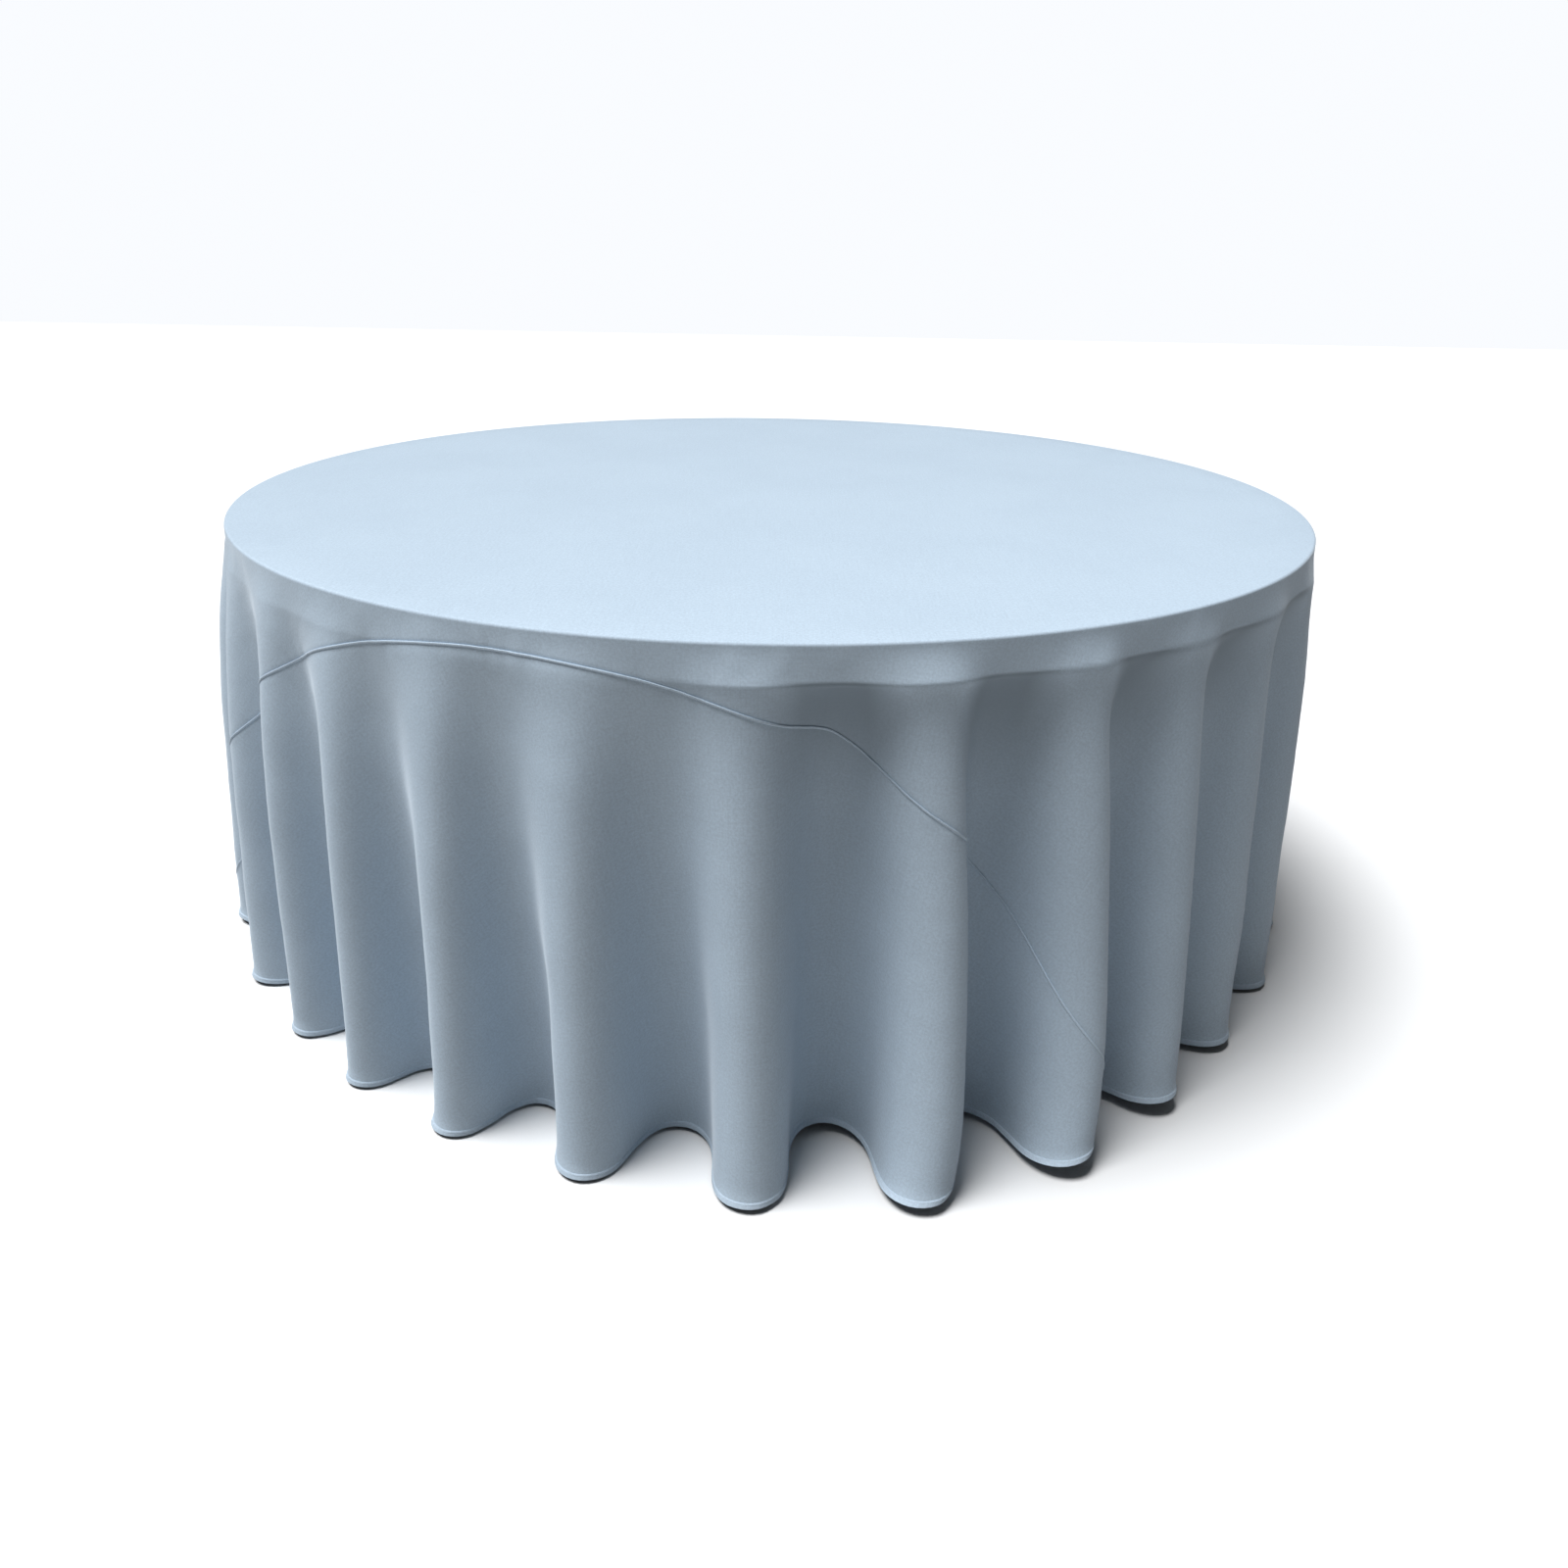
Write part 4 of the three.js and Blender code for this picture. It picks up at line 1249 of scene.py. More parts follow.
@dataclass
class Tablecloth:
    """The cloth's three panels, its two lapped seams, its rolled hem and all their stitching."""

    drape: Drape
    seam_beyond_edge: float = 31 * MM
    seam_direction: float = -21.0
    lap_rise: float = 0.75 * MM
    lap_settle: float = 5 * MM
    dip_depth: float = 0.65 * MM
    dip_reach: float = 3.5 * MM
    least_across: float = 0.05
    hem_width: float = 9 * MM
    hem_half: float = 0.55 * MM
    skirt_rows: int = 80
    side_rows: int = 72
    top_rows: int = 14
    stitch_pitch: float = 3.0 * MM
    stitch_length: float = 2.3 * MM
    thread_radius: float = 0.32 * MM

    # Each lap's section, in millimetres: how far down from the seam line, and off the cloth.
    LAP = (
        (-0.9, -0.5),
        (-1.3, 0.1),
        (-1.25, 0.8),
        (-0.7, 1.2),
        (0.1, 1.22),
        (1.0, 0.9),
        (1.9, 0.6),
        (2.1, 0.1),
        (1.7, -0.4),
    )

    def __post_init__(self) -> None:
        """Works out the seams' places and the cloth's small unevenness."""
        self.seam_distance = self.drape.table_radius + self.seam_beyond_edge
        self.seam_centres = (self.seam_direction, self.seam_direction + FULL_TURN / 2)
        self.panel_edge = self.drape.edge - self.hem_width
        self.rumples = Rumples(self.drape, self.seam_distance, self.seam_centres)

    def crossings(self, columns: np.ndarray, centre: float) -> tuple[np.ndarray, np.ndarray]:
        """Finds where one seam crosses columns of the cloth.

        Args:
            columns: the columns' numbers.
            centre: the seam's own direction.

        Returns:
            How far beyond the roll's start it crosses each, and the cosine of its angle there.
        """
        directions = self.drape.directions[columns]
        lines = np.array([self.seam_line(direction, centre) for direction in directions])
        across = np.array([self.across(direction, centre) for direction in directions])
        return lines, np.maximum(across, self.least_across)

    def across(self, direction: float, centre: float) -> float:
        """Returns the cosine of the angle between a direction and a seam's own."""
        return math.cos(math.radians(direction - centre))

    def seam_line(self, direction: float, centre: float) -> float:
        """Returns how far beyond the edge roll's start a seam crosses a direction."""
        across = self.across(direction, centre)
        if across <= self.least_across:
            return math.inf
        return self.seam_distance / across - self.drape.flat_radius

    def lay(self, columns: np.ndarray, distances: np.ndarray, lifts: np.ndarray, ring: bool) -> tuple:
        """Lays a grid of points on the hanging cloth.

        Args:
            columns: the numbers of the drape's columns, in order.
            distances: the distances beyond the start of the roll, by column and row.
            lifts: how far each point stands off the cloth.
            ring: whether the last column joins the first.

        Returns:
            The points, the normals, and the flat places, by column and row.
        """
        step = 2.5 * MM
        middle, above, below = (
            np.stack([self.drape.column(c, d + shift) for c, d in zip(columns, distances)])
            for shift in (0.0, -step, step)
        )
        down = below - above
        if ring:
            over = np.roll(middle, -1, axis=0) - np.roll(middle, 1, axis=0)
        else:
            over = np.gradient(middle, axis=0)
        reach = np.gradient(distances, axis=0)
        if not ring:
            length = np.maximum(np.linalg.norm(down, axis=-1, keepdims=True), TINY)
            over = over - down / length * reach[..., None]
        normals = np.cross(down, over)
        normals /= np.maximum(np.linalg.norm(normals, axis=-1, keepdims=True), TINY)
        flat = self.drape.flat(columns, distances)
        lifted = lifts + self.rumples.lift(flat, distances)
        return middle + normals * lifted[..., None], normals, flat

    def settle(self, distances: np.ndarray, columns: np.ndarray) -> np.ndarray:
        """Returns how the panels rise under a lap and dip just above it."""
        lifts = np.zeros(distances.shape)
        for centre in self.seam_centres:
            lines, across = self.crossings(columns, centre)
            usable = np.isfinite(lines)
            away = (distances - np.where(usable, lines, 0)[:, None]) * across[:, None]
            rise = 0.8 * self.lap_rise * np.exp(-np.maximum(away, 0) / self.lap_settle)
            dip = self.dip_depth * np.exp(-((away / self.dip_reach) ** 2))
            lifts += np.where(usable[:, None], np.where(away > 0, rise, -dip), 0)
        return lifts

    def centre_panel(self) -> Piece:
        """Builds the middle panel: the top and the skirt as far as the seams and the hem."""
        drape = self.drape
        top = drape.flat_radius * (np.linspace(0, 1, self.top_rows + 1)[1:] ** 0.8 - 1)
        roll = np.linspace(0, drape.roll_length, drape.roll_steps + 1)[1:]
        columns = np.arange(len(drape.directions))
        shares = np.linspace(0, 1, self.skirt_rows + 1)[1:]
        distances = []
        for direction in drape.directions:
            lines = [self.seam_line(direction, centre) for centre in self.seam_centres]
            lowest = min(self.panel_edge + 1 * MM, *lines)
            skirt = drape.roll_length + (lowest - drape.roll_length) * shares
            distances.append(np.concatenate([top, roll, skirt]))
        laid = np.array(distances)
        points, _normals, flat = self.lay(columns, laid, self.settle(laid, columns), True)
        rows = laid.shape[1]
        middle = np.array([[0.0, 0.0, drape.roll_height + drape.roll_radius]])
        vertices = np.concatenate([middle, points.reshape(-1, 3)])
        faces = [tuple(1 + n for n in face) for face in grid_faces(len(columns), rows, True)]
        faces += [(0, 1 + c * rows, 1 + ((c + 1) % len(columns)) * rows) for c in range(len(columns))]
        piece = make_object("centre_panel_cloth", vertices, faces)
        add_map(piece, CLOTH_MAP, np.concatenate([np.zeros((1, 2)), flat.reshape(-1, 2)]))
        in_valley = drape.valley_share(columns, laid).ravel()
        add_share(piece, VALLEY_SHARE, np.concatenate([[0.0], in_valley]))
        return piece

    def seam_columns(self, centre: float, limit: float) -> np.ndarray:
        """Returns the columns that a seam crosses above a limit, in order along the seam."""
        drape = self.drape
        order = np.argsort((drape.directions - centre + FULL_TURN / 2) % FULL_TURN)
        return np.array([c for c in order if self.seam_line(drape.directions[c], centre) < limit])

    def side_panel(self, name: str, centre: float) -> Piece:
        """Builds one side panel, from its seam to the hem."""
        columns = self.seam_columns(centre, self.panel_edge - 1 * MM)
        lines, _across = self.crossings(columns, centre)
        share = np.linspace(0, 1, self.side_rows)[None, :]
        distances = lines[:, None] * (1 - share) + (self.panel_edge + 1 * MM) * share
        points, _normals, flat = self.lay(columns, distances, self.settle(distances, columns), False)
        faces = grid_faces(len(columns), self.side_rows, False)
        piece = make_object(name, points.reshape(-1, 3), faces)
        add_map(piece, CLOTH_MAP, flat.reshape(-1, 2))
        add_share(piece, VALLEY_SHARE, self.drape.valley_share(columns, distances))
        return piece

    def seam_lap(self, name: str, centre: float) -> Piece:
        """Builds the folded lap that stands along one seam."""
        columns = self.seam_columns(centre, self.panel_edge)
        lines, across = self.crossings(columns, centre)
        offsets = np.array([offset for offset, _lift in self.LAP])[None, :] * MM
        lifts = np.repeat(np.array([[lift for _offset, lift in self.LAP]]) * MM, len(columns), axis=0)
        distances = np.minimum(lines[:, None] + offsets / across[:, None], self.panel_edge)
        points, _normals, flat = self.lay(columns, distances, lifts, False)
        faces = grid_faces(len(columns), len(self.LAP), False, closed_rows=True)
        last = (len(columns) - 1) * len(self.LAP)
        faces.append(tuple(reversed(range(len(self.LAP)))))
        faces.append(tuple(range(last, last + len(self.LAP))))
        piece = make_object(name, points.reshape(-1, 3), faces)
        add_map(piece, CLOTH_MAP, flat.reshape(-1, 2) + np.array([0.0, 3.0]))
        return piece

    def hem_roll(self) -> Piece:
        """Builds the rolled hem: cloth folded under twice, with a rounded bottom edge."""
        half, width = self.hem_half, self.hem_width
        section = [(-width, -half * 0.6), (-width, half * 0.5), (-width + 0.5 * MM, half * 0.95)]
        section += [(-0.45 * width, half * 1.05), (-2 * half, half * 1.25)]
        for angle in np.radians(np.linspace(70, -70, 5)):
            section.append((-half * 1.2 + half * 1.2 * math.cos(angle), half * 1.25 * math.sin(angle)))
        section += [(-2 * half, -half * 1.1), (-0.5 * width, -half)]
        columns = np.arange(len(self.drape.directions))
        offsets = np.array([offset for offset, _lift in section])[None, :]
        distances = np.repeat(self.drape.edge - half * 1.2 + offsets, len(columns), axis=0)
        lifts = np.repeat(np.array([[lift for _offset, lift in section]]), len(columns), axis=0)
        points, _normals, flat = self.lay(columns, distances, lifts, True)
        faces = grid_faces(len(columns), len(section), True, closed_rows=True)
        piece = make_object("hem_roll", points.reshape(-1, 3), faces)
        add_map(piece, CLOTH_MAP, flat.reshape(-1, 2) + np.array([3.0, 0.0]))
        return piece

    def stitching(
        self, name: str, columns: np.ndarray, distances: np.ndarray, lift: float, ring: bool
    ) -> Piece:
        """Builds a row of lockstitches along a line on the cloth.

        Args:
            name: the piece's name.
            columns: the columns that the line crosses.
            distances: the line's distance in each column.
            lift: how far the thread's middle stands off the cloth.
            ring: whether the line closes on itself.

        Returns:
            The piece.
        """
        lifts = np.full((len(columns), 1), lift)
        points, normals, _flat = self.lay(columns, distances[:, None], lifts, ring)
        line, outs = points[:, 0], normals[:, 0]
        if ring:
            line, outs = np.concatenate([line, line[:1]]), np.concatenate([outs, outs[:1]])
        travelled = np.concatenate([[0], np.cumsum(np.linalg.norm(np.diff(line, axis=0), axis=1))])
        starts = np.arange(0, travelled[-1] - self.stitch_length, self.stitch_pitch)
        bends = np.array([0.0, 0.22, 0.5, 0.78, 1.0])
        swell = np.array([0.25, 0.85, 1.0, 0.85, 0.25]) * self.thread_radius
        sink = np.array([-0.9, -0.15, 0.0, -0.15, -0.9]) * self.thread_radius
        at = (starts[:, None] + bends[None, :] * self.stitch_length).ravel()
        middle = np.stack([np.interp(at, travelled, line[:, k]) for k in range(3)], axis=1)
        out = np.stack([np.interp(at, travelled, outs[:, k]) for k in range(3)], axis=1)
        out /= np.linalg.norm(out, axis=1, keepdims=True)
        ahead = np.stack([np.interp(at + 0.2 * MM, travelled, line[:, k]) for k in range(3)], axis=1)
        behind = np.stack([np.interp(at - 0.2 * MM, travelled, line[:, k]) for k in range(3)], axis=1)
        way = ahead - behind
        way /= np.maximum(np.linalg.norm(way, axis=1, keepdims=True), TINY)
        side = np.cross(way, out)
        middle = middle + out * np.tile(sink, len(starts))[:, None]
        radius = np.tile(swell, len(starts))[:, None]
        corners = []
        spokes = 5
        for spoke in range(spokes):
            angle = 2 * math.pi * spoke / spokes
            corners.append(middle + radius * (math.cos(angle) * out + math.sin(angle) * side))
        vertices = np.stack(corners, axis=1).reshape(-1, 3)
        faces = []
        for stitch in range(len(starts)):
            first = stitch * len(bends) * spokes
            for bend in range(len(bends) - 1):
                low, high = first + bend * spokes, first + (bend + 1) * spokes
                for spoke in range(spokes):
                    after = (spoke + 1) % spokes
                    faces.append((low + spoke, low + after, high + after, high + spoke))
            last = first + (len(bends) - 1) * spokes
            faces.append(tuple(first + spoke for spoke in reversed(range(spokes))))
            faces.append(tuple(last + spoke for spoke in range(spokes)))
        return make_object(name, vertices, faces)

    def seam_stitching(self, name: str, centre: float) -> Piece:
        """Sews one lap down."""
        columns = self.seam_columns(centre, self.panel_edge - 4 * MM)
        lines, across = self.crossings(columns, centre)
        return self.stitching(name, columns, lines + 0.6 * MM / across, 1.1 * MM, False)

    def hem_stitching(self) -> Piece:
        """Sews the hem, a little below its upper edge."""
        columns = np.arange(len(self.drape.directions))
        distances = np.full(len(columns), self.panel_edge + 1.6 * MM)
        return self.stitching("hem_stitching", columns, distances, self.hem_half + 0.25 * MM, True)

    def build(self, finishes: Finishes) -> None:
        seams = dict(zip(("front", "back"), self.seam_centres))
        centre = self.centre_panel()
        sides = [self.side_panel(f"{word}_side_panel_cloth", at) for word, at in seams.items()]
        laps = [self.seam_lap(f"{word}_seam_lap", at) for word, at in seams.items()]
        rows = [self.seam_stitching(f"{word}_seam_stitching", at) for word, at in seams.items()]
        hem, hem_row = self.hem_roll(), self.hem_stitching()
        fit_out(centre, "centre_panel", "tablecloth", finishes.cloth)
        for word, side, lap, row in zip(seams, sides, laps, rows):
            fit_out(side, f"{word}_side_panel", "tablecloth", finishes.cloth)
            fit_out(lap, f"{word}_seam", "tablecloth", finishes.cloth_edge)
            fit_out(row, None, "tablecloth", finishes.thread)
        fit_out(hem, "hem_band", "tablecloth", finishes.cloth_edge)
        fit_out(hem_row, None, "tablecloth", finishes.thread)


def fit_out(
    piece: Piece, node: str | None, body: str, finish: Material
) -> Piece:
    """Finishes a piece and fixes it to its body.

    Args:
        piece: the piece.
        node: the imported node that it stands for, if any.
        body: the body that it moves with.
        finish: its material.

    Returns:
        The piece.
    """
    piece.data.materials.clear()
    piece.data.materials.append(finish)
    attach(piece, body)
    if node:
        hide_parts(node)
    LOG.info("%s: %d faces, on %s", piece.name, len(piece.data.polygons), body)
    return piece


# ------------------------------------------------------------------ the table


def middle(node: str) -> Vector:
    """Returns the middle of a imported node's box."""
    low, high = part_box(node)
    return (low + high) / 2


@dataclass(frozen=True)
class Rod:
    """A straight round part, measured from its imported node.

    Attributes:
        centre: the middle of its axis.
        way: the direction of its axis.
        half: half its length.
        outer: its largest radius.
        inner: its smallest radius.
    """

    centre: Vector
    way: Vector
    half: float
    outer: float
    inner: float

    @classmethod
    def measure(cls, points: np.ndarray, towards: Vector) -> Rod:
        """Finds the long axis of a cloud of points, pointing the given way."""
        middle_point = points.mean(axis=0)
        way = np.linalg.svd(points - middle_point, full_matrices=False)[2][0]
        if way @ np.array(towards) < 0:
            way = -way
        along = (points - middle_point) @ way
        centre = middle_point + way * (along.max() + along.min()) / 2
        away = np.linalg.norm(points - middle_point - along[:, None] * way, axis=1)
        return cls(Vector(centre), Vector(way), (along.max() - along.min()) / 2, away.max(), away.min())

    @property
    def place(self) -> Matrix:
        """The matrix that stands a local Z along the rod, from its middle."""
        return facing(self.centre, self.way, ALONG_Y if abs(self.way.y) < 0.9 else ALONG_X)


@dataclass(frozen=True)
class Headed:
    """A screw, pin, rivet or plug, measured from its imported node.

    Attributes:
        seat: the middle of the head's underside.
        outward: the direction from the shank to the head.
        shank: the shank's radius.
        depth: the shank's length.
        head: the head's radius.
        rise: the head's height.
    """

    seat: Vector
    outward: Vector
    shank: float
    depth: float
    head: float
    rise: float

    @classmethod
    def measure(cls, points: np.ndarray, node: str, axis: Vector) -> Headed:
        """Measures a headed part that lies along an axis."""
        way = np.array(axis)
        centre = np.array(middle(node))
        away = np.linalg.norm((points - centre) - ((points - centre) @ way)[:, None] * way, axis=1)
        wide = away > away.max() - 0.01 * MM
        along = (points - centre) @ way
        if along[wide].mean() < 0:
            way, along = -way, -along
        seat = along[wide].min()
        shank = away[along < seat - 0.1 * MM].max()
        place = Vector(centre + way * seat)
        return cls(place, Vector(way), shank, seat - along.min(), away.max(), along.max() - seat)

    @property
    def place(self) -> Matrix:
        """The matrix that stands a local Z outwards from the seat."""
        return facing(self.seat, self.outward, ALONG_X)


@dataclass
class Hardware:
    """What every part of the table shares: the frame, the finishes, and how pieces are fixed."""

    frame: dict
    finishes: Finishes

    def points(self, node: str) -> np.ndarray:
        """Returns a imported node's vertices."""
        return np.array([vertex.co for vertex in self.frame["nodes"][node].data.vertices])

    def fix(self, piece: Piece, node: str, slot: str) -> None:
        """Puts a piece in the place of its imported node, on the node's body."""
        bodies = self.frame["record"]["behaviour"]["bodies"]
        body = next(name for name, nodes in bodies.items() if node in nodes)
        fit_out(piece, node, body, self.finishes.for_slot(slot))

    def tube(self, node: str, towards: Vector, rounding: float = 0.35 * MM) -> tuple[Piece, Rod]:
        """Builds a round tube with softened ends.

        Args:
            node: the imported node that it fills.
            towards: which way along its axis is up.
            rounding: the radius of its ends' edges.

        Returns:
            The piece and its measures.
        """
        rod = Rod.measure(self.points(node), towards)
        corners = softened(oblong(rod.inner, rod.outer, -rod.half, rod.half), rounding, True, 2)
        return lathe(f"{node}_pipe", corners, rod.place, 40, closed=True), rod

    def rivet(self, name: str, node: str, axis: Vector, slot: str = "zinc") -> None:
        """Builds a pin or rivet with a domed head and a lightly spread tail."""
        part = Headed.measure(self.points(node), node, axis)
        tail = [(0.0, -part.depth), (part.shank * 0.7, -part.depth), (part.shank, -part.depth + 0.6 * MM)]
        angles = np.radians(np.linspace(0, 90, 7))
        dome = [(part.head * math.cos(a), part.rise * (0.3 + 0.7 * math.sin(a))) for a in angles]
        dome[-1] = (0.0, part.rise)
        profile = [*tail, (part.shank, 0.0), (part.head * 0.96, 0.0), (part.head, 0.1 * part.rise), *dome]
        self.fix(lathe(name, profile, part.place, 28), node, slot)

    def hex_screw(self, name: str, node: str) -> None:
        """Builds a wood screw with a hexagonal head on a washer, and a threaded, pointed shank."""
        part = Headed.measure(self.points(node), node, ALONG_Z)
        core = part.shank * 0.72
        turns = 9
        pitch = (part.depth - 6 * MM) / turns
        profile = [(0.0, -part.depth), (core * 0.5, -part.depth + 2 * MM)]
        for turn in range(turns):
            level = -part.depth + 3 * MM + turn * pitch
            profile += [(core, level), (part.shank, level + pitch * 0.4), (core, level + pitch * 0.8)]
        profile += [(part.shank, -2 * MM), (part.shank, 0.0), (part.head, 0.0), (part.head, 0.25 * part.rise)]
        profile += [(part.head * 0.72, 0.4 * part.rise), (0.0, 0.42 * part.rise)]
        flange = lathe(f"{name}_flange", profile, part.place, 28)
        across = part.head * 0.74
        cap = [(0.0, 0.3 * part.rise), (across, 0.3 * part.rise), (across, 0.88 * part.rise)]
        cap += [(across * 0.86, part.rise), (across * 0.45, part.rise), (across * 0.4, 0.86 * part.rise)]
        cap += [(0.0, 0.86 * part.rise)]
        self.fix(merged(name, [flange, lathe(f"{name}_cap", cap, part.place, 6)]), node, "zinc")


@dataclass
class TableTop(Hardware):
    """The wooden top: laminate, core, vinyl edge, apron, runners, and the steel fixed under it."""

    segments: int = 160
    edge_rounding: float = 2.6 * MM
    groove_depth: float = 0.5 * MM
    bracket_thickness: float = 4 * MM
    stay_plate_thickness: float = 3 * MM
    cheek_radius: float = 20.0 * MM
    bore_radius: float = 13.2 * MM
    stay_cheek_half: float = 10 * MM
    pin_hole: float = 4 * MM
    screw_hole: float = 2.7 * MM
    groove_half: float = 1.6 * MM

    def disc(self, name: str, node: str, rounding: float, slot: str) -> None:
        """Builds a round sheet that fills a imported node."""
        low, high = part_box(node)
        corners = softened(oblong(0.0, high.x, low.z, high.z), rounding)
        self.fix(lathe(name, corners, Matrix.Identity(4), self.segments, planar=True), node, slot)

    def inner_radius(self, node: str) -> float:
        """Returns the inner radius of a packed ring."""
        return float(np.linalg.norm(self.points(node)[:, :2], axis=1).min())

    def apron(self) -> None:
        """Builds the apron ring."""
        low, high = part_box("apron_ring")
        section = oblong(self.inner_radius("apron_ring"), high.x, low.z, high.z)
        corners = softened(section, 1.8 * MM, True)
        board = lathe("apron_ring_board", corners, Matrix.Identity(4), self.segments, closed=True)
        self.fix(board, "apron_ring", "timber")

    def edge(self) -> None:
        """Builds the edge moulding: a rounded nose with two fine grooves round it."""
        low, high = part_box("edge_band")
        inner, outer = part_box("top_laminate")[1].x + 0.3 * MM, high.x
        nose = softened(oblong(inner, outer, low.z, high.z), self.edge_rounding, True, 5)
        grooves = []
        for share in (0.3, 0.7):
            level = low.z + (high.z - low.z) * share
            grooves.append((outer, level - self.groove_half))
            grooves.append((outer - self.groove_depth, level))
            grooves.append((outer, level + self.groove_half))
        lowest = grooves[0][1]
        below = [n for n, (out, level) in enumerate(nose) if out > outer - TINY and level < lowest]
        section = nose[: below[-1] + 1] + grooves + nose[below[-1] + 1 :]
        ring = lathe("edge_band_moulding", section, Matrix.Identity(4), self.segments, closed=True)
        self.fix(ring, "edge_band", "edge_band")

    def outline(self, node: str, rounding: float) -> list[Corner]:
        """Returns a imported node's outline from above, round its own middle, with rounded corners."""
        low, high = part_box(node)
        half_x, half_y = (high.x - low.x) / 2, (high.y - low.y) / 2
        corners = [(half_x, half_y), (-half_x, half_y), (-half_x, -half_y), (half_x, -half_y)]
        return softened(corners, rounding, True)

    def runner(self, end: End) -> None:
        """Builds one long runner, drilled for the brackets' screws."""
        node = f"{end.word}_runner"
        low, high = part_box(node)
        centre = middle(node)
        screws = [f"{side.word}_{end.word}_{spot}_screw" for side in Side for spot in ("outer", "inner")]
        holes = []
        for screw in screws:
            spot = middle(screw) - centre
            holes.append(arc((spot.x, spot.y), self.screw_hole, 360, 15, 12))
        shape = self.outline(node, 2 * MM)
        flat = Matrix.Translation(centre)
        board = plate(f"{node}_board", shape, holes, high.z - low.z, 1.4 * MM, flat)
        self.fix(board, node, "timber")

    def hinge_bracket(self, side: Side, end: End) -> None:
        """Builds one hinge bracket: a screwed plate with a round cheek that the hinge tube turns in."""
        name = f"{side.word}_{end.word}_hinge_bracket"
        centre = middle(name)
        pivot = middle(f"{side.word}_hinge_tube")
        outline = self.outline(name, 5 * MM)
        holes = []
        for spot in ("outer", "inner"):
            off = middle(f"{side.word}_{end.word}_{spot}_screw").x - centre.x
            holes.append(arc((off, 0), self.screw_hole, 360, 15, 12))
        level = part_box(name)[1].z - self.bracket_thickness / 2
        flat = Matrix.Translation((centre.x, centre.y, level))
        base = plate(f"{name}_base", outline, holes, self.bracket_thickness, 0.5 * MM, flat)
        rise = level - pivot.z
        shape = [(self.cheek_radius, rise), (-self.cheek_radius, rise)]
        shape += arc((0, 0), self.cheek_radius, 180, 360)
        bore = arc((0, 0), self.bore_radius, 360, 10, 35)
        upright = facing(Vector((pivot.x, centre.y, pivot.z)), -ALONG_Y, ALONG_X)
        cheek = plate(f"{name}_cheek", shape, [bore], self.bracket_thickness, 0.5 * MM, upright)
        self.fix(merged(f"{name}_steel", [base, cheek]), name, "zinc")

    def stay_bracket(self, side: Side) -> None:
        """Builds the bracket that the upper stay hangs from."""
        name = f"{side.word}_stay_bracket"
        centre = middle(name)
        pivot = middle(f"{side.word}_upper_stay_pin")
        outline = self.outline(name, 4 * MM)
        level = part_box(name)[1].z - self.stay_plate_thickness / 2
        flat = Matrix.Translation((centre.x, centre.y, level))
        base = plate(f"{name}_base", outline, [], self.stay_plate_thickness, 0.5 * MM, flat)
        rise = level - pivot.z
        shape = [(self.stay_cheek_half, rise), (-self.stay_cheek_half, rise)]
        shape += arc((0, 0), self.stay_cheek_half, 180, 360, 16)
        upright = facing(Vector((pivot.x, centre.y, pivot.z)), -ALONG_Y, ALONG_X)
        hole = arc((0, 0), self.pin_hole, 360, 15, 20)
        cheek = plate(f"{name}_cheek", shape, [hole], self.bracket_thickness, 0.5 * MM, upright)
        self.fix(merged(f"{name}_steel", [base, cheek]), name, "zinc")

    def build(self) -> None:
        """Builds the top and everything screwed to it."""
        self.disc("top_laminate_sheet", "top_laminate", 0.35 * MM, "laminate")
        self.disc("top_core_board", "top_core", 0.5 * MM, "plywood")
        self.apron()
        self.edge()
        for end in End:
            self.runner(end)
        for side in Side:
            self.stay_bracket(side)
            for end in End:
                self.hinge_bracket(side, end)
                for spot in ("outer", "inner"):
                    node = f"{side.word}_{end.word}_{spot}_screw"
                    self.hex_screw(f"{node}_hex", node)


